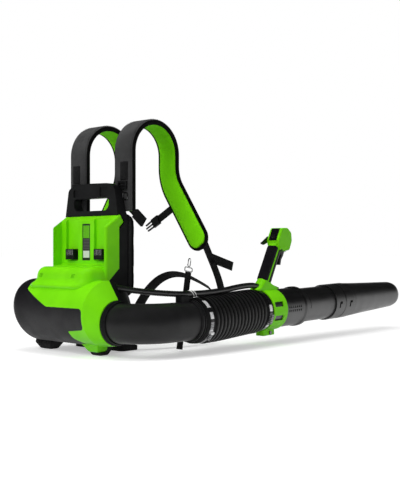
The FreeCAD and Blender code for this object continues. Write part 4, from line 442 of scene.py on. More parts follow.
def bay_plate():
    """A blank rating plate: black frame, green upper field, lined middle, white lower field."""
    made = Surface("bay_plate", Specular_IOR_Level=0.3)
    sideways, _, upward = made.split(made.place)
    edge = 0.0004
    inside = made.between(sideways, -0.0135, 0.0135, edge)
    lines = made.remap(made.wave(upward, 0.0042), -0.2, 0.2)
    grain = made.patches(300.0, 4.0, 0.3, 0.7)
    colour = made.blend(grain, (0.006, 0.006, 0.006), (0.014, 0.014, 0.014))
    for field, finish in (
            (made.times(made.between(upward, 0.2870, 0.3170, edge), lines), (0.10, 0.09, 0.095)),
            (made.between(upward, 0.3200, 0.3560, edge),
             made.blend(grain, (0.09, 0.38, 0.003), (0.13, 0.46, 0.006))),
            (made.between(upward, 0.2640, 0.2840, edge),
             made.blend(grain, (0.62, 0.62, 0.61), (0.74, 0.74, 0.73)))):
        colour = made.blend(made.times(field, inside), colour, finish)
    made.colour(colour)
    made.roughness(made.patches(200.0, 3.0, 0.3, 0.7, 0.42, 0.58))
    return made.material


def window_gloss():
    """The control face: glossy black over a faint dark mask, with fine dust."""
    made = Surface("window_gloss", Coat_Weight=1.0, Coat_Roughness=0.04)
    made.soft_edges(0.0006)
    dust = made.patches(900.0, 2.0, 0.62, 0.72, 0.0, 0.35)
    made.colour(made.blend(dust, (0.004, 0.004, 0.005), (0.05, 0.05, 0.05)))
    made.roughness(made.patches(60.0, 4.0, 0.35, 0.7, 0.07, 0.16))
    return made.material


def hose_plastic():
    """Ribbed hose: dull between the ribs and glossier on the crests, with painted shade in the
    grooves and a painted highlight on the crests, uneven in patches.
    """
    made = Surface("hose_plastic", Specular_IOR_Level=0.4)
    crest = made.node("Attribute", {}, attribute_name="crest").outputs["Fac"]
    # Painted light: the crests lighter and the grooves near black, by how raised each point is
    crest_light_groove_shade = made.times(crest, made.patches(35.0, 5.0, 0.3, 0.7, 0.35, 1.0))
    made.colour(made.blend(crest_light_groove_shade, (0.0008, 0.0008, 0.0009), (0.0135, 0.0135, 0.0140)))
    dull = made.patches(80.0, 4.0, 0.3, 0.7, 0.86, 1.0)
    made.roughness(made.maths("SUBTRACT", dull, made.times(crest, 0.46)))
    made.bump(made.noise(900.0, 3.0), 0.00012, 0.5)
    return made.material


def board_lacquer():
    """Circuit board: green lacquer with a pattern of tracks under it."""
    made = Surface("board_lacquer", Coat_Weight=0.4)
    upright = {"Vector": made.place, "Rotation": (radians(90), 0, 0)}
    tracks = made.node("TexBrick", {
        "Vector": made.node("Mapping", upright).outputs["Vector"], "Scale": 130.0,
        "Color1": (0.012, 0.10, 0.035), "Color2": (0.018, 0.14, 0.05),
        "Mortar": (0.05, 0.24, 0.09)}, offset=0.5)
    made.colour(tracks.outputs["Color"])
    made.roughness(made.patches(90.0, 3.0, 0.3, 0.7, 0.28, 0.45))
    made.bump(tracks.outputs["Fac"], 0.0001, 0.4)
    return made.material


# Each band's dark spans are a painted dark reflection, and its grey spans a painted greyer
# reflection tone with slots
rear_band = band_steel(
    "rear_band", DUCT_Z, ((62, 100), (24, 37), (-1.5, 7)), ((-20, -1.5), (-90, -30)))
front_band = band_steel(
    "front_band", FRONT_CLAMP_Z, ((20, 100), (-5, 2)), ((-40, -5), (-90, -48)))
plate_print = bay_plate()
ribbed_plastic = hose_plastic()

NODE_MATERIALS = {
    green_plastic: "rear_housing handle_collar",
    black_plastic: "back_frame carry_handle front_housing intake_grille battery_terminals "
                   "outlet_ring intake_rim conduit_saddle sternum_buckle_male "
                   "sternum_buckle_female ladder_locks",
    panel_plastic: "belt_cover",
    duct_plastic: "fan_duct fan_wheel stator",
    elbow_plastic: "elbow_duct",
    tube_plastic: "rear_tube front_tube nozzle",
    button_plastic: "trigger boost_button cruise_lever",
    tie_plastic: "cable_ties",
    sole_rubber: "front_foot rear_feet",
    two_shot("shell_green", False): "handle_shell_left handle_shell_right",
    two_shot("grip_two_shot", True): "grip_sleeve",
    rear_band: "rear_clamp",
    front_band: "front_clamp",
    bright_steel: "strap_ring snap_hook hook_gate frame_screws trigger_pin",
    dark_steel: "strap_rings collar_screw",
    dull_steel: "motor_can motor_bearings motor_shaft fan_nut",
    cast_aluminium: "heat_sink",
    window_gloss(): "display_window",
    board_lacquer(): "controller_board",
}
for finish, names in NODE_MATERIALS.items():
    for name in names.split():
        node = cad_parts[name]
        node.data.materials.clear()
        node.data.materials.append(finish)


# Mesh builders
def fit(piece, body, node=None):
    """Fixes a piece to a body, and lets it stand for a CAD node, which it hides."""
    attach(piece, body)
    if node:
        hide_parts(node)


def show(name, data, material):
    """A mesh as an object of the scene."""
    data.materials.append(material)
    made = bpy.data.objects.new(name, data)
    bpy.context.scene.collection.objects.link(made)
    return made


def make_mesh(name, vertices, faces, material, unwrap=None):
    """A mesh object from points and faces. unwrap has each face's corners in metres of cloth."""
    data = bpy.data.meshes.new(name)
    data.from_pydata([tuple(point) for point in vertices], [], faces)
    if unwrap:
        layer = data.uv_layers.new(name="cloth")
        for polygon, corners in zip(data.polygons, unwrap):
            for loop, corner in zip(polygon.loop_indices, corners):
                layer.data[loop].uv = corner
    for polygon in data.polygons:
        polygon.use_smooth = True
    made = show(name, data, material)
    data.validate()
    return made


def turns(count):
    """Even angles round a full turn."""
    return [2 * pi * number / count for number in range(count)]


def distances(line):
    """How far along a line each of its points lies."""
    steps = ((second - first).length for first, second in zip(line, line[1:]))
    return list(accumulate(steps, initial=0.0))


def directions(line):
    """The way that a line runs at each of its points."""
    padded = [line[0], *line, line[-1]]
    return [(after - before).normalized() for before, after in zip(padded, padded[2:])]


def even_steps(dense, step):
    """The same line, divided into steps of about one length."""
    runs = distances(dense)
    count = max(2, round(runs[-1] / step))
    result = []
    at = 0
    for number in range(count + 1):
        wanted = runs[-1] * number / count
        while at < len(dense) - 2 and runs[at + 1] < wanted:
            at += 1
        share = (wanted - runs[at]) / max(runs[at + 1] - runs[at], 1e-9)
        result.append(dense[at].lerp(dense[at + 1], min(max(share, 0.0), 1.0)))
    return result


def smooth_line(points, step):
    """Even points along the smooth line that has these as its control points."""
    data = bpy.data.curves.new("route", "CURVE")
    data.dimensions = "3D"
    data.resolution_u = 24
    line = data.splines.new("NURBS")
    line.points.add(len(points) - 1)
    for target, point in zip(line.points, points):
        target.co = (*point, 1)
    line.order_u = 3
    line.use_endpoint_u = True
    holder = bpy.data.objects.new("route", data)
    bpy.context.scene.collection.objects.link(holder)
    mesh = bpy.data.meshes.new_from_object(holder)
    dense = [Vector(vertex.co) for vertex in mesh.vertices]
    bpy.data.objects.remove(holder)
    bpy.data.meshes.remove(mesh)
    bpy.data.curves.remove(data)
    return even_steps(dense, step)


def quads(first, sides):
    """The faces between a ring of points, from the first on, and the next ring."""
    after = first + sides
    return [(first + side, first + (side + 1) % sides, after + (side + 1) % sides, after + side)
            for side in range(sides)]


def skin_rings(name, rings, material, runs=None, caps=True):
    """A skin through equal rings of points, unwrapped by distance round and along."""
    count = len(rings[0])
    last = len(rings) - 1
    runs = runs or distances([ring[0] for ring in rings])
    spans = distances(rings[0] + rings[0][:1])
    faces = []
    unwrap = []
    for row in range(last):
        faces += quads(row * count, count)
        unwrap += [[(left, runs[row]), (right, runs[row]),
                    (right, runs[row + 1]), (left, runs[row + 1])]
                   for left, right in zip(spans, spans[1:])]
    if caps:
        for row, turn in ((0, -1), (last, 1)):
            faces.append(tuple(range(row * count, (row + 1) * count))[::turn])
            unwrap.append([(span, runs[row]) for span in spans[:count]][::turn])
    points = [point for ring in rings for point in ring]
    return make_mesh(name, points, faces, material, unwrap)


def round_cord(name, line, radius, material, sides=14, ripple=None):
    """A round tube along a line, its radius changed by ripple(distance) where that is given."""
    ways = directions(line)
    up = Vector((0, 0, 1)) if abs(ways[0].z) < 0.9 else SIDEWAYS
    rings = []
    for point, way, run in zip(line, ways, distances(line)):
        side = way.cross(up).normalized()
        up = side.cross(way).normalized()
        size = radius + (ripple(run) if ripple else 0.0)
        rings.append([point + (side * cos(turn) + up * sin(turn)) * size
                      for turn in turns(sides)])
    return skin_rings(name, rings, material)


def webbing(name, line, width, across, node=None):
    """Webbing along a line, thin in its middle and fuller at its woven edges.
    across is the way of its width."""
    half = width / 2
    flat = WEB / 2
    edge = [(0.0, 0.0), (0.0004, flat * 0.8), (0.0016, flat), (0.003, flat * 0.82)]
    upper = [(-half + inward, height) for inward, height in edge] + [(0.0, flat * 0.8)]
    upper += [(half - inward, height) for inward, height in edge[::-1]]
    outline = upper + [(side, -height) for side, height in upper[-2:0:-1]]
    rings = []
    for point, way in zip(line, directions(line)):
        wide = (across - way * across.dot(way)).normalized()
        face = way.cross(wide).normalized()
        rings.append([point + wide * side + face * height for side, height in outline])
    fit(skin_rings(name, rings, web_cloth), "backpack", node)


STITCH = 0.0035
STITCH_GAP = 0.0025
THREAD_RADIUS = 0.00045
# One stitch: share of its length, share of its radius
STITCH_PROFILE = ((0.0, 0.2), (0.15, 0.9), (0.5, 1.1), (0.85, 0.9), (1.0, 0.2))


def stitches(name, line, normals):
    """A row of thread stitches, each a short rounded bar just proud of the cloth."""
    vertices = []
    faces = []
    runs = distances(line)
    spot = STITCH_GAP
    at = 0
    sides = 6
    while spot + STITCH < runs[-1]:
        while at < len(line) - 2 and runs[at + 1] < spot:
            at += 1
        share = (spot - runs[at]) / max(runs[at + 1] - runs[at], 1e-9)
        start = line[at].lerp(line[at + 1], share)
        way = (line[at + 1] - line[at]).normalized()
        lift = normals[at].normalized()
        side = way.cross(lift).normalized()
        for ring in range(len(STITCH_PROFILE) - 1):
            faces += quads(len(vertices) + ring * sides, sides)
        for along, size in STITCH_PROFILE:
            vertices += [start + way * (along * STITCH)
                         + (side * cos(turn) + lift * sin(turn)) * THREAD_RADIUS * size
                         for turn in turns(sides)]
        spot += STITCH + STITCH_GAP
    return make_mesh(name, vertices, faces, stitch_thread)


def weld(made):
    """Joins points that lie in one place, and turns the faces outward."""
    work = bmesh.new()
    work.from_mesh(made.data)
    bmesh.ops.remove_doubles(work, verts=work.verts, dist=0.00002)
    bmesh.ops.recalc_face_normals(work, faces=work.faces)
    work.to_mesh(made.data)
    work.free()


# Ribbed hose
HOSE_SIDES = 96
# One rib: share of the pitch, share of the height
RIB_PROFILE = [(0.00, 0.00), (0.09, 0.10), (0.15, 0.55), (0.20, 0.86), (0.28, 1.0), (0.42, 1.0),
               (0.54, 1.0), (0.62, 0.86), (0.68, 0.55), (0.74, 0.10), (0.84, 0.00)]


def hose_centre(y):
    """Height and slope of the hose's centre line, level at the elbow and tilted at the tube."""
    end = (RIB_END - DUCT_Y) * cos(WAND_TILT) + DUCT_Y
    rise = (RIB_END - DUCT_Y) * sin(WAND_TILT) + WAND_RISE
    slope = tan(WAND_TILT) * (end - RIB_START)
    share = min(max((y - RIB_START) / (end - RIB_START), 0.0), 1.0)
    height = share ** 2 * (3 - 2 * share) * rise + share ** 2 * (share - 1) * slope
    grade = 6 * share * (1 - share) * rise + (3 * share ** 2 - 2 * share) * slope
    beyond = max(y - end, 0.0) * tan(WAND_TILT)
    return DUCT_Z + height + beyond, atan(grade / (end - RIB_START))


def hose_ring(y, radius):
    z, grade = hose_centre(y)
    middle = Vector((ELBOW_X, y, z))
    up = Vector((0, -sin(grade), cos(grade)))
    return [middle + (SIDEWAYS * cos(turn) + up * sin(turn)) * radius
            for turn in turns(HOSE_SIDES)]


def hose_length(name, start, ribs, rear_cuff=None, front_cuff=None):
    """One length of hose: rounded ribs outside, a bore inside, and a cuff at one end."""
    profile = []
    rib_height = HOSE_CREST - HOSE_ROOT
    if rear_cuff:
        y, bore = rear_cuff
        outer = bore + CUFF_WALL
        profile += [(y, bore), (y, outer - 0.001), (y + 0.001, outer), (start - 0.006, outer),
                    (start - 0.0045, outer - 0.0007), (start - 0.002, outer - 0.0009)]
    for number in range(ribs):
        base = start + number * RIB_PITCH
        profile += [(base + RIB_PITCH * share, HOSE_ROOT + rib_height * height)
                    for share, height in RIB_PROFILE]
    end = start + ribs * RIB_PITCH
    if front_cuff:
        y, bore = front_cuff
        outer = bore + CUFF_WALL
        profile += [(end + 0.002, outer - 0.0002), (end + 0.0045, outer - 0.0007),
                    (end + 0.006, outer), (y - 0.001, outer), (y, outer - 0.001), (y, bore)]
    else:
        profile += [(end, HOSE_ROOT)]
    inside = [(y, radius - HOSE_WALL) for y, radius in profile if start <= y <= end]
    profile += inside[::-2]
    profile.append(profile[0])
    rings = [hose_ring(y, radius) for y, radius in profile]
    runs = [0.01 * number for number in range(len(rings))]
    made = skin_rings(name, rings, ribbed_plastic, runs, caps=False)
    crest = made.data.attributes.new("crest", "FLOAT", "POINT")
    for index, (y, radius) in enumerate(profile):
        raised = min(max(0.0, (radius - HOSE_ROOT) / rib_height), 1.0)
        for corner in range(HOSE_SIDES):
            crest.data[index * HOSE_SIDES + corner].value = raised ** 2
    weld(made)
    return made


hose_rear = hose_length("ribbed_hose_rear", RIB_START, OUTER_RIBS,
                        rear_cuff=(REAR_CUFF_START, REAR_BORE))
hose_mid = hose_length("ribbed_hose_middle", RIBS_MID_START, MIDDLE_RIBS)
hose_front = hose_length("ribbed_hose_front", RIBS_FRONT_START, OUTER_RIBS,
                         front_cuff=(FRONT_CUFF_END, FRONT_BORE))
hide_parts("hose_rear")
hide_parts("hose_mid")
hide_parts("hose_front")
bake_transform(hose_rear)
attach(hose_mid, "hose_middle")
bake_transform(hose_front)


# Cable conduit over the hose, and its two ties
CREST = DUCT_Z + HOSE_CREST + CONDUIT_RADIUS + CLEAR
SPLIT_REAR = RIB_START - 0.002
SPLIT_MID = (RIBS_MID_START + RIBS_FRONT_START) / 2
LIFT_MID = 0.0004
CONDUIT_STEP = 0.0006
CORRUGATION_PITCH = 0.0046
CORRUGATION_DEPTH = 0.0009


def above_hose(y, gap):
    """A point of the conduit's centre line over the hose, with a gap between the two."""
    return Vector((ELBOW_X, y, hose_centre(y)[0] + HOSE_CREST + CONDUIT_RADIUS + gap))


def corrugation(run):
    """Rings of split conduit: wide crests and narrow grooves."""
    wave = 0.5 + 0.5 * cos(2 * pi * run / CORRUGATION_PITCH)
    return -CORRUGATION_DEPTH * wave ** 3


def conduit(label, line):
    made = round_cord(f"conduit_sleeve_{label}", line, CONDUIT_RADIUS, conduit_plastic,
                      ripple=corrugation)
    return made


joint_rear = above_hose(SPLIT_REAR, 0.0)
rear_route = [(0.1182, -0.099, 0.187), (0.144, -0.098, 0.1845), (0.201, -0.066, 0.1755),
              (0.246, -0.020, 0.169), (ELBOW_X, 0.036, CREST - 0.0007),
              joint_rear - 0.022 * FORWARD, joint_rear]
mid_route = [above_hose(SPLIT_REAR + (SPLIT_MID - SPLIT_REAR) * k / 12,
                        LIFT_MID * sin(pi / 2 * k / 12)) for k in range(13)]
front_route = [above_hose(SPLIT_MID, LIFT_MID), above_hose(0.226, 0.0008),
               above_hose(0.250, 0.0024), above_hose(0.300, 0.0036), above_hose(0.330, 0.0030),
               wand_point(ELBOW_X, 0.34726, 0.166), wand_point(ELBOW_X, 0.35976, 0.164)]
conduit_rear = conduit("rear", smooth_line(rear_route, CONDUIT_STEP))
conduit_mid = conduit("middle", even_steps(mid_route, CONDUIT_STEP))
conduit_front = conduit("front", smooth_line(front_route, CONDUIT_STEP))
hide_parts("conduit_rear")
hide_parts("conduit_mid")
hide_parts("conduit_front")
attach(conduit_rear, "backpack")
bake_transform(conduit_mid)
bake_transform(conduit_front)

TIE_LEAN = radians(38)
# Half the width and the height of the tie's section
TIE_SECTION = ((-0.0010, -0.0004), (0.0010, -0.0004), (0.0012, 0.0),
               (0.0010, 0.0005), (-0.0010, 0.0005), (-0.0012, 0.0))


def cable_tie(name, y, node=None):
    """A thin tie round the conduit, leaning rearward at its top."""
    middle = Vector((ELBOW_X, y, CREST - CLEAR))
    reach = CONDUIT_RADIUS + 0.0009
    along = Vector((0, sin(TIE_LEAN), -cos(TIE_LEAN)))
    loop = [middle + SIDEWAYS * (reach * cos(turn))
            + along * (reach * sin(turn) / cos(TIE_LEAN)) for turn in turns(40)]
    loop.append(loop[0])
    rings = []
    for point, way in zip(loop, directions(loop)):
        out = (point - middle).normalized()
        side = way.cross(out).normalized()
        rings.append([point + side * wide + out * tall for wide, tall in TIE_SECTION])
    rings[-1] = rings[0]
    band = skin_rings(name, rings, tie_plastic, caps=False)
    weld(band)
    fit(band, "backpack", node)


cable_tie("cable_tie_rear", 0.0630, "cable_ties")
cable_tie("cable_tie_front", 0.0730)


# Small bars: the saddle's foot, contact blades, the blank plate, and near-black bars in the
# tube's notches as painted shade
def rounded_bars(name, boxes, material, edge):
    """Small bars, each between two corners, with rounded edges, as one piece."""
    work = bmesh.new()
    for low, high in boxes:
        for vertex in bmesh.ops.create_cube(work, size=1.0)["verts"]:
            for axis in range(3):
                vertex.co[axis] = low[axis] if vertex.co[axis] < 0 else high[axis]
    bmesh.ops.bevel(work, geom=work.edges[:], offset=edge, segments=2, profile=0.5,
                    affect="EDGES")
    data = bpy.data.meshes.new(name)
    work.to_mesh(data)
    work.free()
    return show(name, data, material)


saddle_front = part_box("conduit_saddle")[1][1]
saddle_box = ((ELBOW_X - 0.010, saddle_front - 0.004, DUCT_Z + 0.0600),
              (ELBOW_X + 0.010, REAR_CUFF_START + 0.0005, DUCT_Z + 0.0668))
fit(rounded_bars("saddle_foot", [saddle_box], black_plastic, 0.0015),
    "backpack")

BAY_X = 0.062
BLADE_PITCH = 0.006
BLADE_HALF = 0.0007
terminal_low, terminal_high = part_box("battery_terminals")
blades = []
for side in (-1, 1):
    for number in range(5):
        x = side * BAY_X - 2 * BLADE_PITCH + BLADE_PITCH * number
        blades.append(((x - BLADE_HALF, terminal_low[1] + 0.0002, terminal_low[2] + 0.0122),
                       (x + BLADE_HALF, terminal_low[1] + 0.0120, terminal_high[2] - 0.0015)))
fit(rounded_bars("contact_blades", blades, bright_steel, 0.0003), "backpack")

plate_box = ((-0.0165, -0.0694, 0.2565), (0.0165, -0.0684, 0.3605))
fit(rounded_bars("bay_plate", [plate_box], plate_print, 0.0004), "backpack")

NOTCHES = 7
NOTCH_PITCH = 0.010
NOTCH_RISE = 0.0060
NOTCH_HALF = 0.0036
SCALE_START = STEM_FOOT_Y - 0.0175 + 0.066 + 0.014
FILL_RADIUS = 0.0592
# A fill's outer face is flat, and only its far edge reaches the tube's skin
fill_face = sqrt(FILL_RADIUS ** 2 - (NOTCH_RISE + NOTCH_HALF) ** 2)
# Painted shade: near-black bars set into the scale notches stand in for the shade inside them
notch_shade_fills = []
for number in range(NOTCHES):
    start = SCALE_START + NOTCH_PITCH * number
    for z in (DUCT_Z - NOTCH_RISE, DUCT_Z + NOTCH_RISE):
        notch_shade_fills.append(((ELBOW_X + 0.0566, start + 0.0003, z - NOTCH_HALF),
                      (ELBOW_X + fill_face, start + 0.0055, z + NOTCH_HALF)))
notch_shade_bars = rounded_bars("notch_shade_bars", notch_shade_fills, binding_cloth, 0.0001)
for vertex in notch_shade_bars.data.vertices:
    vertex.co = wand_point(*vertex.co)
fit(notch_shade_bars, "wand")


# Padded shoulder straps
def strap_line(side):
    """Centre line of a strap from its lower back end: (point, way across, outward)."""
    middle = STRAP_ARCH_RADIUS - STRAP_THICKNESS / 2
    x = STRAP_OFFSET
    bend_z = STRAP_ARCH_Z - STRAP_STRAIGHT
    front = STRAP_ARCH_Y + middle
    end = Vector((STRAP_END_X, 0, STRAP_END_Z))
    down = (end - Vector((x, 0, bend_z))).normalized()
    lean = atan2(down.x, -down.z)
    reach = STRAP_BEND_RADIUS * tan(lean / 2)
    dense = [Vector((x, STRAP_ARCH_Y - middle, STRAP_LOW + 0.001 * k))
             for k in range(int((STRAP_ARCH_Z - STRAP_LOW) * 1000))]
    for number in range(181):
        turn = radians(180 - number)
        dense.append(Vector((x, STRAP_ARCH_Y + middle * cos(turn),
                             STRAP_ARCH_Z + middle * sin(turn))))
    dense += [Vector((x, front, STRAP_ARCH_Z - 0.001 * k))
              for k in range(1, int((STRAP_ARCH_Z - bend_z - reach) * 1000))]
    for number in range(31):
        turn = lean * number / 30
        dense.append(Vector((x + STRAP_BEND_RADIUS * (1 - cos(turn)), front,
                             bend_z + reach - STRAP_BEND_RADIUS * sin(turn))))
    start = dense[-1]
    tip = end + down * (STRAP_WIDTH / 2)
    dense += [start.lerp(Vector((tip.x, front, tip.z)), k / 100) for k in range(1, 101)]
    line = even_steps(dense, 0.004)
    rows = []
    for point, way in zip(line, directions(line)):
        across = SIDEWAYS.copy()
        if abs(way.x) > 1e-4:
            across = FORWARD.cross(way)
            across = across if across.x > 0 else -across
        across.normalize()
        outward = way.cross(across)
        wanted = Vector((0, point.y - STRAP_ARCH_Y, max(point.z - STRAP_ARCH_Z, 0.0)))
        if outward.dot(wanted) < 0:
            outward = -outward
        rows.append((point, across, outward.normalized()))
    if side < 0:
        rows = [tuple(Vector((-v.x, v.y, v.z)) for v in row) for row in rows]
    return rows


def end_shares(rows, half, tuck=0.0):
    """How much of its full width a strap has at each row, less at its rounded front end."""
    length = distances([row[0] for row in rows])[-1]
    step = length / (len(rows) - 1)
    shares = []
    for index in range(len(rows)):
        left = length - tuck - index * step
        inward = max(1.0 - left / half, 0.0)
        shares.append(sqrt(max(1.0 - inward ** 2, 0.0)))
    return shares


def strap_layer(name, rows, profile, material, inset, tuck=0.0):
    """A closed layer of a strap. profile lists (share of half width, height outward)."""
    half = STRAP_WIDTH / 2 - inset
    rings = []
    for (point, across, outward), share in zip(rows, end_shares(rows, half, tuck)):
        if share < 0.12:
            continue
        swell = 0.55 + 0.45 * min(1.0, share * 1.6)
        rings.append([point + across * (half * wide * share) + outward * (height * swell)
                      for wide, height in profile])
    return skin_rings(name, rings, material)


def strap_patch(name, rows, shift):
    """A flat strip sewn on a strap's outer face."""
    outline = [(-1.0, 0.0), (-0.97, 0.8), (-0.9, 1.0), (0.9, 1.0),
               (0.97, 0.8), (1.0, 0.0), (0.9, -0.6), (-0.9, -0.6)]
    rings = []
    for point, across, outward in rows:
        middle = shift * (1 if across.x > 0 else -1)
        rings.append([point + across * (middle + PATCH_HALF_WIDTH * wide)
                      + outward * (PATCH_LIFT + PATCH_THICKNESS * tall)
                      for wide, tall in outline])
    return skin_rings(name, rings, patch_cloth)


OUTER_PROFILE = [(-1.0, 0.0005), (-0.985, 0.0045), (-0.94, 0.0078), (-0.8, 0.0090),
                 (-0.4, 0.0094), (0.0, 0.0095), (0.4, 0.0094), (0.8, 0.0090), (0.94, 0.0078),
                 (0.985, 0.0045), (1.0, 0.0005), (0.9, 0.0), (0.0, 0.0), (-0.9, 0.0)]
LINING_PROFILE = [(-0.93, 0.0), (-0.99, -0.002), (-0.97, -0.0055), (-0.88, -0.0078),
                  (-0.6, -0.0088), (-0.2, -0.0092), (0.2, -0.0092), (0.6, -0.0088),
                  (0.88, -0.0078), (0.97, -0.0055), (0.99, -0.002), (0.93, 0.0), (0.5, 0.0),
                  (0.0, 0.0), (-0.5, 0.0)]
LINING_INSET = 0.0042
LINING_SWELL = 0.0042
SEAM_SIDE = 0.0315
SEAM_LIFT = 0.00935
PATCH_ROWS = slice(22, 36)
PATCH_SHIFT = 0.006
PATCH_HALF_WIDTH = 0.0155
PATCH_LIFT = 0.0098
PATCH_THICKNESS = 0.0012
BINDING_RADIUS = 0.0036
BINDING_INSET = 0.0034
BINDING_DROP = 0.0008
BINDING_WIDENING = 1.95


def edge_loop(rows):
    """The binding's line up one edge of a strap, round the front end and down the other."""
    half = STRAP_WIDTH / 2 - BINDING_INSET
    shares = end_shares(rows, half)
    first, second = ([point + across * (sign * half * share) - outward * BINDING_DROP
                      for (point, across, outward), share in zip(rows, shares)]
                     for sign in (-1, 1))
    return even_steps(first + second[::-1], 0.004)


def widen_binding(made, rows):
    """Widens a round binding across the strap's thickness, as folded tape is."""
    for vertex in made.data.vertices:
        point, _, outward = min(rows[::2], key=lambda row: (row[0] - vertex.co).length_squared)
        height = (vertex.co - point).dot(outward) + BINDING_DROP
        if abs(height) < BINDING_INSET * 1.5:
            vertex.co += outward * (height * (BINDING_WIDENING - 1.0))


def apply_modifiers(made):
    """Sets the result of the modifiers as the object's own mesh."""
    graph = bpy.context.evaluated_depsgraph_get()
    result = bpy.data.meshes.new_from_object(made.evaluated_get(graph))
    made.modifiers.clear()
    made.data = result


def puffed(made, voxel, cap, material):
    """Cloth simulation with air inside: the piece swells by at most cap, then is set."""
    start = made.copy()
    start.data = made.data.copy()
    scene = bpy.context.scene
    scene.collection.objects.link(start)
    remesh = start.modifiers.new("remesh", "REMESH")
    remesh.mode = "VOXEL"
    remesh.voxel_size = voxel
    apply_modifiers(start)
    rest = [vertex.co.copy() for vertex in start.data.vertices]
    settings = start.modifiers.new("cloth", "CLOTH").settings
    settings.use_pressure = True
    settings.uniform_pressure_force = 4.0
    settings.effector_weights.gravity = 0.0
    settings.quality = 4
    for number in range(1, 13):
        scene.frame_set(number)
    apply_modifiers(start)
    scene.frame_set(1)
    for vertex, place in zip(start.data.vertices, rest):
        move = vertex.co - place
        if move.length > cap:
            vertex.co = place + move.normalized() * cap
    name = made.name
    bpy.data.objects.remove(made)
    start.name = name
    start.data.materials.clear()
    start.data.materials.append(material)
    for polygon in start.data.polygons:
        polygon.use_smooth = True
    return start


def make_strap(side):
    """One shoulder strap: outer cloth, green lining, bound edge, stitching and a patch."""
    label = "right" if side > 0 else "left"
    rows = strap_line(side)
    outer = strap_layer(f"strap_outer_{label}", rows, OUTER_PROFILE, strap_cloth, 0.001)
    lining = strap_layer(f"strap_lining_{label}", rows, LINING_PROFILE, lining_cloth,
                         LINING_INSET, LINING_INSET)
    lining = puffed(lining, 0.0020, LINING_SWELL, lining_cloth)
    binding = round_cord(f"strap_binding_{label}", edge_loop(rows), BINDING_RADIUS,
                         binding_cloth, sides=12)
    widen_binding(binding, rows)
    pieces = [outer, lining, binding]
    normals = [row[2] for row in rows]
    for place, sign in (("in", -1), ("out", 1)):
        line = [point + across * (sign * SEAM_SIDE) + outward * SEAM_LIFT
                for point, across, outward in rows[:-10]]
        pieces.append(stitches(f"strap_stitches_{label}_{place}", line, normals))
    pieces.append(strap_patch(f"strap_patch_{label}", rows[PATCH_ROWS], side * PATCH_SHIFT))
    for piece in pieces:
        fit(piece, "backpack")
    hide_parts(f"shoulder_strap_{label}")


make_strap(1)
make_strap(-1)


# Back cushion
PAD_GRID = 61
PAD_MARGIN = 0.004
PAD_CORNER = 8
PAD_SWELL = 0.0040
PAD_FACE = 0.0058
CHANNEL_DEPTH = 0.0036
CHANNEL_WIDTH = 0.006
CREASE_DEPTH = 0.0030
CREASE_WIDTH = 0.0035
PIPING_RADIUS = 0.0026


def back_cushion():
    """The back pad: six pillows between sewn channels, puffed and piped round its edge."""
    grid = PAD_GRID
    back = PLATE_FRONT + CLEAR
    middle_z = (PAD_LOW + PAD_HIGH) / 2
    half_high = (PAD_HIGH - PAD_LOW) / 2
    channels = (middle_z - half_high / 3, middle_z + half_high / 3)

    def from_seam(x, z):
        return min([abs(x)] + [abs(z - level) for level in channels])

    front = []
    for row in range(grid):
        for column in range(grid):
            u = 2 * column / (grid - 1) - 1
            v = 2 * row / (grid - 1) - 1
            x = u * (PAD_HALF_WIDTH - PAD_MARGIN)
            z = middle_z + v * (half_high - PAD_MARGIN)
            corner = abs(u) ** PAD_CORNER + abs(v) ** PAD_CORNER
            if corner > 1.0:
                shrink = corner ** (-1 / PAD_CORNER)
                x *= shrink
                z = middle_z + (z - middle_z) * shrink
            outness = max(abs(x) / PAD_HALF_WIDTH, abs(z - middle_z) / half_high)
            edge = min(1.0, max(0.0, 1.0 - outness) / 0.16)
            crown = 0.45 + 0.55 * sqrt(edge)
            dip = CHANNEL_DEPTH * exp(-(from_seam(x, z) / CHANNEL_WIDTH) ** 2)
            front.append(Vector((x, back + (PAD_THICKNESS - 0.002) * crown - dip, z)))
    count = grid * grid
    vertices = front + [Vector((p.x, back + 0.001, p.z)) for p in front]
    faces = []
    for row in range(grid - 1):
        for column in range(grid - 1):
            a = row * grid + column
            faces.append((a, a + grid, a + grid + 1, a + 1))
            faces.append((count + a, count + a + 1, count + a + grid + 1, count + a + grid))
    rim = list(range(grid)) + [row * grid + grid - 1 for row in range(1, grid)]
    rim += [(grid - 1) * grid + column for column in range(grid - 2, -1, -1)]
    rim += [row * grid for row in range(grid - 2, 0, -1)]
    for first, second in zip(rim, rim[1:] + rim[:1]):
        faces.append((first, second, count + second, count + first))
    pad = make_mesh("back_cushion", vertices, faces, pad_cloth)
    weld(pad)
    pad = puffed(pad, 0.0032, PAD_SWELL, pad_cloth)
    for vertex in pad.data.vertices:
        seam = from_seam(vertex.co.x, vertex.co.z)
        if vertex.co.y > back + 0.006:
            vertex.co.y -= CREASE_DEPTH * exp(-(seam / CREASE_WIDTH) ** 2)
            vertex.co.y += 0.0004 * noise.noise(vertex.co * 90)
        vertex.co.y = min(max(vertex.co.y, back), PAD_FACE)
    edge = [Vector((front[index].x, back + 0.0055, front[index].z)) for index in rim]
    piping = round_cord("back_cushion_piping", even_steps(edge + edge[:2], 0.004),
                        PIPING_RADIUS, binding_cloth, sides=10)
    seam_y = back + PAD_THICKNESS - 0.0062
    seams = [[Vector((-0.112 + 0.004 * k, seam_y, level)) for k in range(57)]
             for level in channels]
    seams.append([Vector((0, seam_y, PAD_LOW + 0.012 + 0.004 * k)) for k in range(55)])
    threads = [stitches(f"back_cushion_stitches_{number}", line, [FORWARD] * len(line))
               for number, line in enumerate(seams)]
    for piece in [pad, piping, *threads]:
        fit(piece, "backpack")
    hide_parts("back_pad")


back_cushion()


# Harness webbing
def hang(name, route, width, node=None, across=SIDEWAYS):
    """Webbing along a route of control points."""
    webbing(name, smooth_line(route, 0.005), width, across, node)


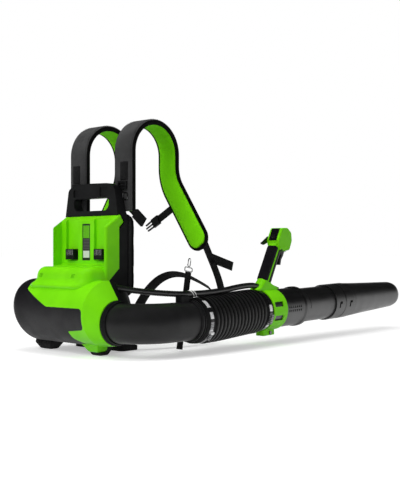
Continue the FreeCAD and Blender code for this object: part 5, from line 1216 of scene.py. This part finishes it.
def adjuster(side):
    """The webbing from a strap's end, round to the foot of the back plate."""
    label = "right" if side > 0 else "left"
    anchor = PLATE_FRONT + CLEAR + WEB / 2
    x = STRAP_END_X - 0.010
    low_x = STRAP_OFFSET - 0.014
    if side > 0:
        route = [(x - 0.014, CHEST_Y, 0.378), (x + 0.005, CHEST_Y + 0.001, 0.350),
                 (x - 0.017, 0.343, 0.120), (x - 0.038, 0.252, 0.060),
                 (x - 0.045, 0.185, 0.020)]
    else:
        route = [(x, CHEST_Y, 0.350), (x, CHEST_Y + 0.001, 0.305), (x, 0.208, 0.270),
                 (x, 0.232, 0.200), (x - 0.004, 0.225, 0.090), (x - 0.022, 0.160, 0.018)]
    route += [(low_x + 0.046, 0.070, 0.015), (low_x, 0.006, 0.040), (low_x, anchor, 0.072),
              (low_x, anchor, 0.112)]
    hang(f"adjuster_{label}", [(side * px, py, pz) for px, py, pz in route], WIDE_WEB,
         f"adjuster_webbing_{label}")
    if side > 0:
        reach = Vector((0.03, 1, -0.28)).normalized() * 0.050
        middle = Vector((x - 0.001, 0.292, 0.249))
        webbing("adjuster_tail_right", even_steps([middle - reach, middle + reach], 0.005),
                WIDE_WEB, Vector((0, 0.28, 1)))


adjuster(1)
adjuster(-1)

# The two ends of the chest strap, from x and z to x and z
for label, start, end, node in (
        ("right", (0.152, 0.438), (0.046, 0.380), "sternum_webbing"),
        ("left", (-0.122, 0.450), (-0.060, 0.402), None)):
    first, last = (Vector((x, CHEST_Y, z)) for x, z in (start, end))
    webbing(f"chest_webbing_{label}", even_steps([first, last], 0.004), NARROW_WEB,
            (last - first).normalized().cross(FORWARD), node)

# Waist webbing from the lugs of the back plate
slant = Vector((22, 0, -17)).normalized()
x = LUG_X + CLEAR + 0.5 * WIDE_WEB * slant.x
hang("waist_webbing_right",
     [(x, -0.018, 0.078), (x, -0.006, 0.108), (x, 0.019, 0.141), (x, 0.051, 0.176),
      (x, 0.100, 0.207), (x, 0.159, 0.218), (x, 0.236, 0.203), (x, 0.315, 0.167)],
     WIDE_WEB, "waist_belt", slant)
hang("waist_webbing_left",
     [(-x, -0.018, 0.078), (-x, -0.004, 0.098), (-x, 0.040, 0.116), (-x, 0.110, 0.112),
      (-x, 0.180, 0.070)], WIDE_WEB, across=Vector((22, 0, 17)).normalized())

# The upright strap behind the elbow that carries the snap hook
x = ELBOW_X - HOSE_CREST - CLEAR - WEB / 2
low, high = Vector((x, 0.088, 0.005)), Vector((x, 0.125, 0.223))
ahead = (high - low).normalized()
webbing("tube_strap", even_steps([low, high], 0.004), HOOK_WEB,
        Vector((0, ahead.z, -ahead.y)), "hook_strap")


# Studio
def pale_floor():
    """The floor. It keeps the object's shadow, and glows only to the camera and in gloss."""
    bpy.ops.mesh.primitive_plane_add(size=60, location=(0, 0, -0.0005))
    floor = bpy.context.object
    floor.name = "studio_floor"
    made = Surface("studio_floor", Roughness=0.9, Specular_IOR_Level=0.05,
                   Emission_Color=(1, 1, 1))
    length = made.node("VectorMath", {0: made.place}, operation="LENGTH")
    far = made.remap(length.outputs["Value"], 0.5, 2.2)
    made.colour(made.blend(far, (0.80, 0.80, 0.80), (0.05, 0.05, 0.05)))
    ray = made.node("LightPath", {}).outputs
    seen = made.maths("MAXIMUM", ray["Is Camera Ray"], ray["Is Glossy Ray"])
    glow = made.times(seen, made.remap(far, 0.0, 1.0, 0.42, 1.0))
    made.feed(made.shader.inputs["Emission Strength"], glow)
    floor.data.materials.append(made.material)


def white_sweep():
    """The world, white to the camera and through glass. As light it is brightest low down
    behind the object, and in gloss it is nearly dark overhead."""
    world = bpy.data.worlds.new("studio_world")
    bpy.context.scene.world = world
    world.use_nodes = True
    made = Nodes(world.node_tree)
    background = made.tree.nodes["Background"].inputs
    made.feed(background["Color"], (1, 1, 1))
    way = made.node("TexCoord", {}).outputs["Generated"]
    height = made.split(way)[2]
    behind = made.remap(made.dot(way, (-0.35, 0.94, 0.0)), -0.25, 0.35)
    bright = made.times(behind, made.remap(height, 0.12, 0.36, 1.0, 0.0))
    level = made.remap(bright, 0.0, 1.0, 0.26, 1.0)
    ray = made.node("LightPath", {}).outputs
    hidden = made.times(made.remap(height, 0.06, 0.30, 0.0, 0.93), ray["Is Glossy Ray"])
    shaded = made.times(level, made.maths("SUBTRACT", 1.0, hidden))
    clear = made.maths("MAXIMUM", ray["Is Camera Ray"], ray["Is Transmission Ray"])
    made.feed(background["Strength"], made.maths("MAXIMUM", clear, shaded))


def lamp(name, place, target, size, energy):
    """A soft rectangular lamp aimed at a point."""
    data = bpy.data.lights.new(name, "AREA")
    data.shape = "RECTANGLE"
    data.size, data.size_y = size
    data.energy = energy
    made = bpy.data.objects.new(name, data)
    made.location = place
    aim = Vector(target) - Vector(place)
    made.rotation_euler = aim.to_track_quat("-Z", "Y").to_euler()
    made.visible_glossy = False
    bpy.context.scene.collection.objects.link(made)


pale_floor()
white_sweep()
lamp("key", (-0.3, -2.6, 2.3), (0.0, 0.0, 0.25), (2.4, 1.6), 62.0)
lamp("fill", (1.9, -2.2, 0.7), (0.1, 0.0, 0.30), (1.6, 1.2), 10.0)
lamp("top", (0.3, 0.3, 3.2), (0.1, 0.2, 0.1), (2.6, 2.6), 60.0)

bpy.context.scene.view_settings.view_transform = "Standard"
